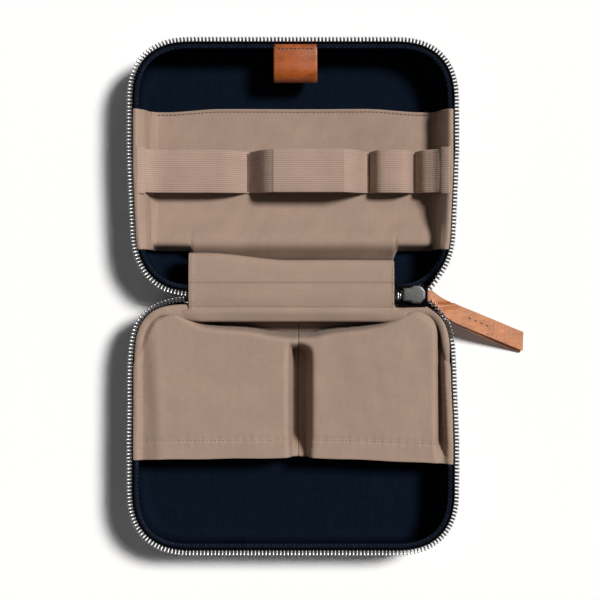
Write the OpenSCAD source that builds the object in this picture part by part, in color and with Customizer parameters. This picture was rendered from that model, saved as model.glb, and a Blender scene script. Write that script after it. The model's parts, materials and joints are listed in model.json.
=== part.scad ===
// Zip-around cable organizer pouch, lying fully open: a base tray and a lid tray, hinged at the spine.
// Origin: centre of the underside of the base tray. +X along the spine, +Y from base to lid, +Z up.

/* [Case] */
// Width of each tray over the zip teeth, along the spine
half_w = 204; // [190:1:220]
// Depth of each tray from the front wall to the spine wall
half_d = 159.4; // [150:0.2:170]
// Height of each tray from its underside to the parting plane of the zip
wall_h = 32; // [30:1:36]
// Length of each rounded corner along the straight sides
corner_len = 40; // [36:1:60]
// Roundness of the corners: 2 is an ellipse, more is squarer
corner_exp = 2.5; // [2.2:0.1:3.2]
// How far the side walls bow outwards at the middle
side_bow = 0.6; // [0:0.1:2]
// How far each side wall is drawn in towards the spine
side_pinch = 2.4; // [0:0.2:4]
// Gap between each tray's spine wall and the hinge axis
hinge_gap = 0.4; // [0.3:0.1:0.8]
// Half the width of the cover over the spine
cover_half_w = 64; // [62:0.5:66]

/* [Layers] */
// Thickness of the woven outer shell
shell_t = 0.8; // [0.6:0.1:1.2]
// Thickness of the foam padding
foam_t = 2.4; // [2:0.1:2.6]
// Thickness of the lining
lining_t = 0.5; // [0.4:0.1:0.6]
// Thickness of the pocket fabric
pocket_t = 1.2; // [1:0.1:1.4]

/* [Zip] */
// Distance from one tooth to the next on a chain
tooth_pitch = 2.5; // [2.4:0.1:3]
// Width of a tooth along the chain
tooth_w = 1.1; // [0.9:0.05:1.15]
// Length of a tooth
tooth_len = 2.9; // [2.5:0.1:3]
// Length of the slider along the chain
slider_len = 13.5; // [13:0.5:16]
// Width of the slider at its wide end
slider_w = 10.8; // [10.4:0.2:12.4]
// Place of the slider's narrow end along the spine
slider_x = 68.2; // [68:0.2:71]

/* [Pull] */
// Length of the leather pull strap beyond its ring
strap_len = 72.5; // [50:0.5:74]
// Width of the pull strap
strap_w = 11.4; // [9:0.2:12]
// Thickness of one leather layer
leather_t = 1.4; // [1.2:0.1:1.6]
// Slope of the strap from the slider down to the table
strap_slope = 21; // [17:0.5:21]
// Turn of the strap away from the spine direction
strap_turn = 20.5; // [19:0.5:24]

/* [Base pockets] */
// Front edge of both pockets, measured from the middle of the base
pocket_mouth_y = -22; // [-30:1:-15]
// Place of the seam between the two pockets, from the middle
pocket_seam_x = 3; // [-5:1:5]

/* [Lid pocket and elastic] */
// Edge of the slip pocket next to the spine
slip_y0 = 108; // [104:1:112]
// Open edge of the slip pocket
slip_y1 = 196; // [190:1:200]
// Height of the slip pocket's panel above the table
slip_z = 8.6; // [8.4:0.1:9]
// Edge of the elastic band next to the spine
band_y = 144.3; // [140:0.5:150]
// Width of the elastic band
band_w = 27.2; // [24:0.2:30]

/* [Pen loop] */
// Length of the pen loop along the pen
pen_loop_len = 27; // [20:1:32]
// Distance of the pen loop's middle from the middle of the lid
pen_loop_x = 1.5; // [-10:0.5:10]

/* [Hidden] */
hinge_y = half_d / 2 + hinge_gap;
lid_y = 2 * hinge_y;
corner_steps = 8;
wall_top = wall_h - 4.5;
inner_t = shell_t + foam_t + lining_t;
floor_z = inner_t;
notch_r = 7.7;
notch_x0 = cover_half_w - 1.5;
notch_x1 = slider_x + 20;
thin = 0.05;

navy = [0.06, 0.09, 0.14];
charcoal = [0.12, 0.13, 0.15];
taupe = [0.66, 0.56, 0.49];
taupe_light = [0.72, 0.61, 0.53];
tan_leather = [0.72, 0.42, 0.22];
metal = [0.75, 0.76, 0.78];

// ---- Outline of a tray -------------------------------------------------------------------

// One quarter of the outline, from the spine direction (+Y) round to the side (+X)
function quarter(inset) = [
    for (i = [0 : corner_steps])
        let (a = 90 * i / corner_steps, r = corner_len - inset)
        [half_w / 2 - corner_len + r * pow(sin(a), 2 / corner_exp),
         half_d / 2 - corner_len + r * pow(cos(a), 2 / corner_exp)]
];

function reversed(list) = [for (i = [len(list) - 1 : -1 : 0]) list[i]];

// The side walls bow outwards, and are drawn in towards the spine
function bowed(p) =
    let (
        bow = side_bow * (1 - pow(2 * p[1] / half_d, 2)),
        pinch = side_pinch * min(1, max(0, (p[1] + 10) / 60))
    )
    [p[0] * (1 + 2 * (bow - pinch) / half_w), p[1]];

// Points from the spine's right end, clockwise past the right side, the front and the left side,
// to the spine's left end. Closing this path draws the straight spine wall.
function outline(inset) =
    let (q = quarter(inset), side = half_w / 2 - inset, front = inset - half_d / 2)
    [for (p = concat(
        q,
        [[side, 0]],
        reversed([for (p = q) [p[0], -p[1]]]),
        [[0, front]],
        [for (p = q) [-p[0], -p[1]]],
        [[-side, 0]],
        reversed([for (p = q) [-p[0], p[1]]])
    )) bowed(p)];

outline_count = 4 * (corner_steps + 1) + 3;

function slice(list, first, last) = [for (i = [first : last]) list[i]];

// ---- Skins -------------------------------------------------------------------------------

// A profile is a list of [inset, z] pairs. Each becomes one ring of points round the tray.
function ring_points(profile, first, last) = [
    for (q = profile) each [for (p = slice(outline(q[0]), first, last)) [p[0], p[1], q[1]]]
];

// Closed tray: rings from the middle of the underside, up the outside, over the rim and down inside
module tray_skin(profile) {
    n = outline_count;
    rings = len(profile);
    sides = [
        for (r = [0 : rings - 2], i = [0 : n - 1])
            [r * n + i, (r + 1) * n + i, (r + 1) * n + (i + 1) % n, r * n + (i + 1) % n]
    ];
    polyhedron(
        ring_points(profile, 0, n - 1),
        concat([[for (i = [0 : n - 1]) i]], sides, [[for (i = [n - 1 : -1 : 0]) (rings - 1) * n + i]]),
        convexity = 6
    );
}

// Strip that follows the outline from point first to point last and leaves the spine open.
// Its profile is a closed loop, clockwise where the inset grows to the right and z grows upwards.
module strip_skin(profile, first, last) {
    n = last - first + 1;
    rings = len(profile);
    sides = [
        for (r = [0 : rings - 1], i = [0 : n - 2])
            let (s = (r + 1) % rings)
            [r * n + i, s * n + i, s * n + i + 1, r * n + i + 1]
    ];
    polyhedron(
        ring_points(profile, first, last),
        concat(
            sides,
            [[for (r = [rings - 1 : -1 : 0]) r * n]],
            [[for (r = [0 : rings - 1]) r * n + n - 1]]
        ),
        convexity = 6
    );
}

// Surface at depth t below the outside of the shell, from the underside to the top of the wall
function layer(t) = [
    [9.5 + 0.2 * t, t],
    [4.2 + 0.75 * t, 3 + 0.65 * t],
    [1.6 + t, 9 + 0.3 * t],
    [1.2 + t, 18],
    [2.4 + t, wall_top]
];

// Everything of the lid is the mirror image of the base across the hinge plane
module lid_side() {
    translate([0, lid_y, 0]) mirror([0, 1, 0]) children();
}

// Room that the slider needs to turn about the hinge axis
module slider_room() {
    translate([notch_x0, hinge_y, wall_h]) rotate([0, 90, 0])
        cylinder(r = notch_r, h = notch_x1 - notch_x0, $fn = 48);
}

// ---- Shell of one tray -------------------------------------------------------------------

module outer_panel() {
    tray_skin(concat(slice(layer(0), 0, 2), reversed(slice(layer(shell_t), 0, 2))));
}

module gusset() {
    difference() {
        strip_skin(concat(slice(layer(0), 2, 4), reversed(slice(layer(shell_t), 2, 4))),
            0, outline_count - 1);
        slider_room();
    }
}

// Goes on from the gusset, straight across the spine and up to the spine cover
module spine_panel() {
    x = outline(0)[0][0] - thin;
    top = wall_top + 2.2;
    profile = concat(slice(layer(0), 2, 4), [[layer(0)[4][0], top], [layer(shell_t)[4][0], top]],
        reversed(slice(layer(shell_t), 2, 4)));
    rotate([90, 0, 90]) translate([0, 0, -x]) linear_extrude(2 * x)
        polygon([for (q = profile) [half_d / 2 - q[0], q[1]]]);
}

module foam() {
    difference() {
        tray_skin(concat(layer(shell_t), reversed(layer(shell_t + foam_t))));
        slider_room();
    }
}

module lining() {
    difference() {
        tray_skin(concat(layer(shell_t + foam_t), reversed(layer(inner_t))));
        slider_room();
    }
}

// Room between the ends of the tape and binding that the spine cover fills
module cover_room() {
    x = cover_half_w + 0.1;
    translate([-x, half_d / 2 - 12, wall_top - 1]) cube([2 * x, 12, 6]);
}

// The teeth sit against the slanted part of its outer edge
module zip_tape() {
    difference() {
        strip_skin([[2.4, wall_top], [1.8, wall_h - 3.04], [2.7, wall_h - 2.14], [2.7, wall_h - 1],
            [3.6, wall_h - 1], [3.6, wall_top]], 0, outline_count - 1);
        slider_room();
        cover_room();
    }
}

module binding() {
    difference() {
        strip_skin([[3.6, wall_top], [3.6, wall_top + 3.5], [4.6, wall_top + 4],
            [6.2, wall_top + 3.3], [6.8, wall_top + 0.8], [6.1, wall_top]], 0, outline_count - 1);
        slider_room();
        cover_room();
    }
}

// ---- Zip teeth ---------------------------------------------------------------------------

tooth_path = outline(1.2);

// Distance along the path to each of its points
path_at = [for (i = 0, s = 0; i < len(tooth_path);
    s = s + (i + 1 < len(tooth_path) ? norm(tooth_path[i + 1] - tooth_path[i]) : 0), i = i + 1) s];
path_end = path_at[len(tooth_path) - 1];
last_tooth = path_end - 1.5;

// Place and direction on the tooth path at distance s
function on_path(s) =
    let (i = max([for (k = [0 : len(path_at) - 2]) if (path_at[k] <= s) k]),
        step = tooth_path[i + 1] - tooth_path[i])
    [tooth_path[i] + step * (s - path_at[i]) / norm(step), atan2(step[1], step[0])];

// A tooth leans outwards and upwards from the edge of the tape
module tooth(place) {
    translate([place[0][0], place[0][1], wall_h - 1.5])
        rotate([0, 0, place[1] + 90])
        rotate([0, 45, 0])
        translate([-tooth_len / 2, -tooth_w / 2, -0.5])
        cube([tooth_len, tooth_w, 1]);
}

function clear_of_slider(p) = p[0] < 0 || hinge_y - p[1] > notch_r + 0.4;

function clear_of_cover(p) = p[1] < 0 || abs(p[0]) > cover_half_w + 1;

module tooth_row(shift) {
    for (s = [shift : tooth_pitch : last_tooth])
        let (place = on_path(s))
            if (clear_of_slider(place[0]) && clear_of_cover(place[0])) tooth(place);
}

// ---- Base --------------------------------------------------------------------------------

module base_outer_panel() {
    color(charcoal) outer_panel();
}

module base_gusset() {
    color(charcoal) gusset();
}

module base_foam() {
    color("dimgray") foam();
}

module base_lining() {
    color(navy) lining();
}

module base_binding() {
    color(navy) binding();
}

module base_zip_tape() {
    color("black") zip_tape();
}

module base_zip_teeth() {
    color(metal) tooth_row(0);
}

module base_spine_panel() {
    color(charcoal) spine_panel();
}

// Fabric strip of constant thickness along X, through points [y, z] of its upper face
module cover_strip(points, half_width) {
    rotate([90, 0, 90]) translate([0, 0, -half_width])
        linear_extrude(2 * half_width)
        polygon(concat(points, [for (p = reversed(points)) p - [0, pocket_t]]));
}

cover_points_base = [[hinge_y - 0.2, wall_h - 0.3], [hinge_y - 7, wall_h - 1.6], [hinge_y - 15, wall_h - 2.2]];
cover_points_lid = [[hinge_y + 0.2, wall_h - 0.3], [hinge_y + 8.5, wall_h - 1], [hinge_y + 20, wall_h - 4],
    [hinge_y + 25.6, wall_h - 12], [hinge_y + 27.6, wall_h - 21.5]];

module base_spine_cover() {
    color(taupe) cover_strip(cover_points_base, cover_half_w);
}

// Room inside a tray, up to the inner face of its rim
module tray_room() {
    linear_extrude(wall_h) polygon(outline(7.2));
}

// Pocket fabric seen along Y, through points [x, z] of its upper face, thickened downwards
module pocket_sheet(points) {
    pocket_y1 = hinge_y - 15.4;
    intersection() {
        translate([0, pocket_y1, 0]) rotate([90, 0, 0])
            linear_extrude(pocket_y1 - pocket_mouth_y)
            polygon(concat(points, [for (p = reversed(points)) p - [0, pocket_t]]));
        tray_room();
    }
}

pocket_top = wall_h - 1;
pocket_foot = floor_z + pocket_t + 0.3;

module base_pocket_left() {
    color(taupe) pocket_sheet([[-half_w / 2, pocket_top - 2.4], [pocket_seam_x - 95, pocket_top - 1.2],
        [pocket_seam_x - 84, pocket_top - 0.2], [pocket_seam_x - 24, pocket_top],
        [pocket_seam_x - 8, pocket_top - 2], [pocket_seam_x - 3.6, pocket_foot + 4],
        [pocket_seam_x - 0.6, pocket_foot]]);
}

module base_pocket_right() {
    color(taupe) pocket_sheet([[pocket_seam_x + 0.6, pocket_foot], [pocket_seam_x + 3.6, pocket_foot + 4],
        [pocket_seam_x + 8, pocket_top - 2], [pocket_seam_x + 24, pocket_top],
        [pocket_seam_x + 78, pocket_top - 0.2], [pocket_seam_x + 84, pocket_top - 2],
        [pocket_seam_x + 87, pocket_top - 12], [pocket_seam_x + 90, pocket_top - 2.4],
        [half_w / 2, pocket_top - 2.4]]);
}

// Tape sewn along the foot of the groove between the pockets
module base_pocket_seam_tape() {
    color(taupe) translate([pocket_seam_x - 0.55, pocket_mouth_y + 2, floor_z])
        cube([1.1, hinge_y - 20 - pocket_mouth_y, 1.2]);
}

// Metal clamp on the tape that ends the base chain, at the left end of the zip
module zip_bottom_stop() {
    color(metal) translate([-cover_half_w - 3.2, half_d / 2 - 3.8, wall_h - 1])
        cube([2.2, 0.85, 0.7]);
}

// ---- Lid ---------------------------------------------------------------------------------

module lid_outer_panel() {
    color(charcoal) lid_side() outer_panel();
}

module lid_gusset() {
    color(charcoal) lid_side() gusset();
}

module lid_foam() {
    color("dimgray") lid_side() foam();
}

module lid_lining() {
    color(navy) lid_side() lining();
}

module lid_binding() {
    color(navy) lid_side() binding();
}

module lid_zip_tape() {
    color("black") lid_side() zip_tape();
}

module lid_zip_teeth() {
    color(metal) lid_side() tooth_row(tooth_pitch / 2);
}

module lid_spine_panel() {
    color(charcoal) lid_side() spine_panel();
}

module lid_spine_cover() {
    color(taupe) cover_strip(cover_points_lid, cover_half_w);
}

slip_half_w = half_w / 2 - 9.6;
slip_gusset_w = 2;
slip_panel_w = 2 * (slip_half_w - slip_gusset_w);

// Slip pocket: a flat panel that turns down to the lining along its edge by the spine
module lid_pocket_panel() {
    foot_w = slip_panel_w - 8;
    color(taupe) {
        translate([-slip_panel_w / 2, slip_y0, slip_z])
            cube([slip_panel_w, slip_y1 - slip_y0, pocket_t]);
        translate([-foot_w / 2, slip_y0, floor_z])
            cube([foot_w, pocket_t, slip_z - floor_z + thin]);
    }
}

// Pleated side of the slip pocket, standing along the side wall
module pocket_gusset(x) {
    translate([x, slip_y0 + 7, slip_z - 2.4])
        cube([slip_gusset_w - thin, slip_y1 - slip_y0 - 13, 17.6]);
}

module lid_pocket_gusset_left() {
    color(taupe) pocket_gusset(-slip_half_w);
}

module lid_pocket_gusset_right() {
    color(taupe) pocket_gusset(slip_half_w - slip_gusset_w + thin);
}

band_t = 1.2;
band_foot = slip_z + pocket_t + band_t;
// Sewn lines of the band: its left end, three divisions, its right end
band_seams = [-89.4, -28, 47.5, 76, 89.4];
// Height of the band's ends, which hang from the gussets
band_end_z = 20;
// Height of each loop's top, and how far its shoulders stand in from the sewn lines
loop_tops = [23, 29.8, 23, 21];
shoulders = [14, 14, 5, 4];

// Upper face of the band over loop i, seen along Y
function loop_points(i) = [
    [band_seams[i] + (i == 0 ? 0 : 1), i == 0 ? band_end_z : band_foot],
    [band_seams[i] + shoulders[i], loop_tops[i]],
    [band_seams[i + 1] - shoulders[i], loop_tops[i]],
    [band_seams[i + 1] - (i == 3 ? 0 : 1), i == 3 ? band_end_z : band_foot]
];

module elastic_band() {
    points = [for (i = [0 : len(loop_tops) - 1]) each loop_points(i)];
    color(taupe_light) translate([0, band_y + band_w, 0]) rotate([90, 0, 0])
        linear_extrude(band_w)
        polygon(concat(points, [for (p = reversed(points)) p - [0, band_t]]));
}

// Sewn bars that hold the band down between the loops
module elastic_bartacks() {
    color(taupe) for (i = [1 : 3])
        translate([band_seams[i] - 0.9, band_y + 1, band_foot])
        cube([1.8, band_w - 2, 0.6]);
}

// Folded end of the band, sewn to the inner face of the gusset
module end_tab(x) {
    translate([x, band_y - 0.6, band_end_z - 4])
        cube([0.8, band_w + 1.2, 6]);
}

module elastic_end_tab_left() {
    color(taupe_light) end_tab(band_seams[0] - 0.85);
}

module elastic_end_tab_right() {
    color(taupe_light) end_tab(band_seams[4] + 0.05);
}

pen_wall_y = lid_y + half_d / 2 - 7.2;
pen_loop_top = wall_h - 1.6;

// Leather strip that runs from the rim over the pen and back under it to the wall
module pen_loop() {
    outer = [[pen_wall_y, pen_loop_top], [pen_wall_y - 14, pen_loop_top], [pen_wall_y - 17.5, pen_loop_top - 2.5],
        [pen_wall_y - 18.5, pen_loop_top - 7], [pen_wall_y - 16.5, pen_loop_top - 11.5],
        [pen_wall_y - 12, pen_loop_top - 13], [pen_wall_y, pen_loop_top - 13]];
    inner = [[pen_wall_y - leather_t, pen_loop_top - leather_t], [pen_wall_y - 13.4, pen_loop_top - leather_t],
        [pen_wall_y - 16.3, pen_loop_top - 3.3], [pen_wall_y - 17, pen_loop_top - 7],
        [pen_wall_y - 15.5, pen_loop_top - 10.5], [pen_wall_y - 11.8, pen_loop_top - 11.6],
        [pen_wall_y - leather_t, pen_loop_top - 11.6]];
    color(tan_leather) translate([pen_loop_x - pen_loop_len / 2, 0, 0]) rotate([90, 0, 90])
        linear_extrude(pen_loop_len) difference() {
            polygon(outer);
            polygon(inner);
        }
}

// Strip behind the loop's sewn edge
module pen_loop_backing() {
    color(tan_leather) translate([pen_loop_x - pen_loop_len / 2 + 1, pen_wall_y - 3.6, pen_loop_top])
        cube([pen_loop_len - 2, 3.2, 0.7]);
}

// ---- End of the zip, slider and pull -----------------------------------------------------

module at_hinge() {
    translate([0, hinge_y, wall_h]) children();
}

stop_x = cover_half_w + 0.2;

// Clamp that stops the slider where the chain begins
module zip_end_stop() {
    color(metal) at_hinge() translate([stop_x, -2.4, -1.1]) cube([1.2, 4.8, 2.2]);
}

// Last joined teeth between the clamp and the slider, left and right teeth in turn
module zip_joined_teeth() {
    color(metal) at_hinge() for (i = [0 : 7])
        translate([stop_x + 1.3 + i * tooth_pitch / 2, i % 2 == 0 ? -2.3 : -0.6, -0.6])
        cube([tooth_w, tooth_len, 1.2]);
}

plate_t = 1.2;
channel_h = 2.9;

// Outline of a slider plate: narrow where the chain is joined, wide where it splits
module slider_plate_2d() {
    polygon([[0, -slider_w * 0.37], [slider_len * 0.3, -slider_w * 0.37], [slider_len * 0.45, -slider_w / 2],
        [slider_len * 0.8, -slider_w / 2], [slider_len, -slider_w * 0.2], [slider_len, slider_w * 0.2],
        [slider_len * 0.8, slider_w / 2], [slider_len * 0.45, slider_w / 2],
        [slider_len * 0.3, slider_w * 0.37], [0, slider_w * 0.37]]);
}

module slider_body() {
    color(metal) at_hinge() translate([slider_x, 0, 0]) {
        translate([0, 0, channel_h / 2]) linear_extrude(plate_t) slider_plate_2d();
        translate([0, 0, -channel_h / 2 - plate_t]) linear_extrude(plate_t) slider_plate_2d();
        // Post between the two chains
        translate([slider_len * 0.72, -1.1, -channel_h / 2 - thin])
            cube([slider_len * 0.2, 2.2, channel_h + 2 * thin]);
        // Flanges along the joined chain
        for (side = [-1, 1])
            translate([0, side * (slider_w * 0.37 - 0.4) - 0.4, -channel_h / 2 - thin])
            cube([slider_len * 0.42, 0.8, channel_h + 2 * thin]);
    }
}

crown_x = slider_x + 5;
crown_len = 7;
crown_drop = 4;
plate_low = -channel_h / 2 - plate_t;
wire_r = 0.75;
ring_x = crown_x + crown_len / 2 + 0.6;
ring_z = plate_low - 1.45;
ring_len = 6.4;
ring_half_w = 4.6;
ring_arm_w = 1.8;
ring_slope = 15;

// Arch under the outer plate that holds the ring
module slider_crown() {
    color(metal) at_hinge() translate([crown_x, -1.2, plate_low - crown_drop]) difference() {
        cube([crown_len, 2.4, crown_drop]);
        translate([1.2, -1, 1.1]) cube([crown_len - 2.4, 4.4, crown_drop]);
    }
}

module ring_frame() {
    at_hinge() translate([ring_x, 0, ring_z]) rotate([0, ring_slope, 0]) children();
}

// Ring of two round bars and two flat arms: one bar runs through the crown, the other holds the strap
module pull_ring() {
    color(metal) ring_frame() {
        for (x = [0, ring_len])
            translate([x, ring_half_w, 0]) rotate([90, 0, 0])
            cylinder(r = wire_r, h = 2 * ring_half_w, $fn = 24);
        for (y = [-ring_half_w, ring_half_w])
            translate([-ring_arm_w / 2, y - wire_r, -ring_arm_w / 2])
            cube([ring_len + ring_arm_w, 2 * wire_r, ring_arm_w]);
    }
}

neck_w = 7.2;
neck_bore_r = wire_r + 0.3;
neck_r = neck_bore_r + leather_t;
// Distance of the strap's straight run from the middle of the ring's bar
strap_offset = 3.6;

function turned(u, v) = [u * cos(strap_turn) + v * sin(strap_turn), v * cos(strap_turn) - u * sin(strap_turn)];

// Plan of the strap in its own plane: a neck at the ring, then a straight run turned aside
module strap_plan() {
    half = strap_w / 2;
    polygon([[0, neck_w / 2], [neck_r, neck_w / 2], turned(14, half - strap_offset),
        turned(strap_len, half - strap_offset), turned(strap_len, -half - strap_offset),
        turned(21, -half - strap_offset), [neck_r + 2, -neck_w / 2], [0, -neck_w / 2]]);
}

module strap_frame() {
    ring_frame() translate([ring_len, 0, 0]) rotate([0, strap_slope - ring_slope, 0]) children();
}

// One leather strip, folded round the ring and sewn to itself
module pull_strap() {
    color(tan_leather) strap_frame() difference() {
        union() {
            translate([0, neck_w / 2, 0]) rotate([90, 0, 0]) cylinder(r = neck_r, h = neck_w, $fn = 32);
            translate([0, 0, -leather_t]) linear_extrude(2 * leather_t) strap_plan();
        }
        translate([0, neck_w, 0]) rotate([90, 0, 0]) cylinder(r = neck_bore_r, h = 2 * neck_w, $fn = 32);
    }
}

// Four stitches through both layers
module strap_stitches() {
    color("saddlebrown") strap_frame() rotate([0, 0, -strap_turn]) for (i = [0 : 3])
        translate([30.5 + 4.4 * i, -3.2, leather_t]) cube([2.2, 0.6, 0.35]);
}

base_outer_panel();
base_gusset();
base_foam();
base_lining();
base_binding();
base_zip_tape();
base_zip_teeth();
base_spine_panel();
base_spine_cover();
base_pocket_left();
base_pocket_right();
base_pocket_seam_tape();
zip_bottom_stop();
lid_outer_panel();
lid_gusset();
lid_foam();
lid_lining();
lid_binding();
lid_zip_tape();
lid_zip_teeth();
lid_spine_panel();
lid_spine_cover();
lid_pocket_panel();
lid_pocket_gusset_left();
lid_pocket_gusset_right();
elastic_band();
elastic_bartacks();
elastic_end_tab_left();
elastic_end_tab_right();
pen_loop();
pen_loop_backing();
zip_end_stop();
zip_joined_teeth();
slider_body();
slider_crown();
pull_ring();
pull_strap();
strap_stitches();
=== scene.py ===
import json
import math

import bmesh
import bpy
import numpy as np
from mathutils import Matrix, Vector


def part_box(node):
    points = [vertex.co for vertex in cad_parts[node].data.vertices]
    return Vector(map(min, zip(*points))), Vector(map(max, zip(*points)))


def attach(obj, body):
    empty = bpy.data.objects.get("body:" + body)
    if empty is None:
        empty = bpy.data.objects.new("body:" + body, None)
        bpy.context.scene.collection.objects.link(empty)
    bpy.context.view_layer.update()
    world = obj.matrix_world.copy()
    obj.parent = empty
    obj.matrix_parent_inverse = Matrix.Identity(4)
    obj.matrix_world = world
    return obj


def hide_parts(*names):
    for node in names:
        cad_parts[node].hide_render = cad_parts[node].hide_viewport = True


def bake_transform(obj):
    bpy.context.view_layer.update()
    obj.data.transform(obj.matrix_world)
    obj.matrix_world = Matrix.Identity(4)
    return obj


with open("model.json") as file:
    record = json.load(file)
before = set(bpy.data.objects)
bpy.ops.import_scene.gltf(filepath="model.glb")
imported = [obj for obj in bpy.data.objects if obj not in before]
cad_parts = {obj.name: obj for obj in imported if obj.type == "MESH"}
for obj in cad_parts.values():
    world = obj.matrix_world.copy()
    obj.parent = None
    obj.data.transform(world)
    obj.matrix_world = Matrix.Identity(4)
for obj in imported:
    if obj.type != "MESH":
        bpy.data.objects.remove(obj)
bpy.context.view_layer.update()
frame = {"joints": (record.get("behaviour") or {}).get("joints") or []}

# Lengths are millimetres, and MM turns them into metres. The studio's own are metres.
MM = 0.001
JOINTS = {j["name"]: j for j in frame["joints"]}
HINGE_Y = JOINTS["lid_hinge"]["pos_m"][1] / MM
RIM_Z = JOINTS["lid_hinge"]["pos_m"][2] / MM


def mm_box(node):
    """Lowest and highest corner of a CAD node, in millimetres."""
    low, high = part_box(node)
    return np.array(low) / MM, np.array(high) / MM


# ---- Camera, light and floor ------------------------------------------------------------

VIEW_HEIGHT = 1000.0
VIEW_WIDTH = 370.4
SENSOR = 36.0
VIEW_CENTRE = (4.3, HINGE_Y - 2.4)


def add_camera():
    data = bpy.data.cameras.new("camera")
    data.sensor_width = SENSOR
    data.lens = SENSOR * VIEW_HEIGHT / VIEW_WIDTH
    camera = bpy.data.objects.new("camera", data)
    bpy.context.scene.collection.objects.link(camera)
    camera.location = (VIEW_CENTRE[0] * MM, VIEW_CENTRE[1] * MM, (RIM_Z + VIEW_HEIGHT) * MM)
    bpy.context.scene.camera = camera


LIGHT_AZIMUTH = math.radians(29)
LIGHT_ELEVATION = math.radians(53)


def place_light(name, data, azimuth, elevation, distance):
    light = bpy.data.objects.new(name, data)
    bpy.context.scene.collection.objects.link(light)
    flat = math.cos(elevation)
    way = Vector((math.cos(azimuth) * flat, math.sin(azimuth) * flat, math.sin(elevation)))
    light.location = Vector((0, HINGE_Y * MM, 0)) + way * distance
    light.rotation_euler = way.to_track_quat("Z", "Y").to_euler()


def add_lights():
    key = bpy.data.lights.new("key", "SUN")
    key.energy = 3.85
    key.angle = math.radians(12.8)
    key.color = (1.0, 0.985, 0.965)
    place_light("key", key, LIGHT_AZIMUTH, LIGHT_ELEVATION, 2.4)
    fill = bpy.data.lights.new("top_fill", "AREA")
    fill.shape = "DISK"
    fill.size = 1.8
    fill.energy = 1.6
    fill.color = (0.97, 0.98, 1.0)
    place_light("top_fill", fill, math.radians(200), math.radians(78), 2.0)


def add_world():
    world = bpy.data.worlds.new("studio")
    bpy.context.scene.world = world
    world.use_nodes = True
    background = world.node_tree.nodes["Background"]
    background.inputs["Color"].default_value = (1, 1, 1, 1)
    background.inputs["Strength"].default_value = 0.018


FLOOR_HALF = 15.0
BACKDROP_RADIUS = 14.9
BACKDROP_LEVELS = (-0.02, 3.0)
BACKDROP_SIDES = 64


def stage_piece(name, points, faces, settings):
    """A plain piece of the studio, which isn't part of the object."""
    mesh = bpy.data.meshes.new(name)
    mesh.from_pydata(points, [], faces)
    piece = bpy.data.objects.new(name, mesh)
    bpy.context.scene.collection.objects.link(piece)
    material = bpy.data.materials.new(name)
    material.use_nodes = True
    shader = material.node_tree.nodes["Principled BSDF"]
    for socket, value in settings.items():
        shader.inputs[socket].default_value = value
    mesh.materials.append(material)


def add_floor():
    half = FLOOR_HALF
    corners = [(-half, -half, 0), (half, -half, 0), (half, half, 0), (-half, half, 0)]
    stage_piece("floor", corners, [(0, 1, 2, 3)],
                {"Base Color": (0.96, 0.96, 0.965, 1), "Roughness": 0.9, "Specular IOR Level": 0.1})


def add_backdrop():
    """A low pale wall round the floor's edge, glowing softly."""
    n, r = BACKDROP_SIDES, BACKDROP_RADIUS
    turns = [2 * math.pi * i / n for i in range(n)]
    points = [(r * math.cos(t), r * math.sin(t), z) for z in BACKDROP_LEVELS for t in turns]
    faces = [(i, (i + 1) % n, n + (i + 1) % n, n + i) for i in range(n)]
    glow = {"Base Color": (0.05, 0.05, 0.05, 1), "Emission Color": (1, 1, 1, 1), "Emission Strength": 0.88}
    stage_piece("backdrop", points, faces, glow)


add_camera()
add_world()
add_backdrop()
add_lights()
add_floor()
bpy.context.scene.view_settings.view_transform = "Standard"


# ---- Materials --------------------------------------------------------------------------

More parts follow.
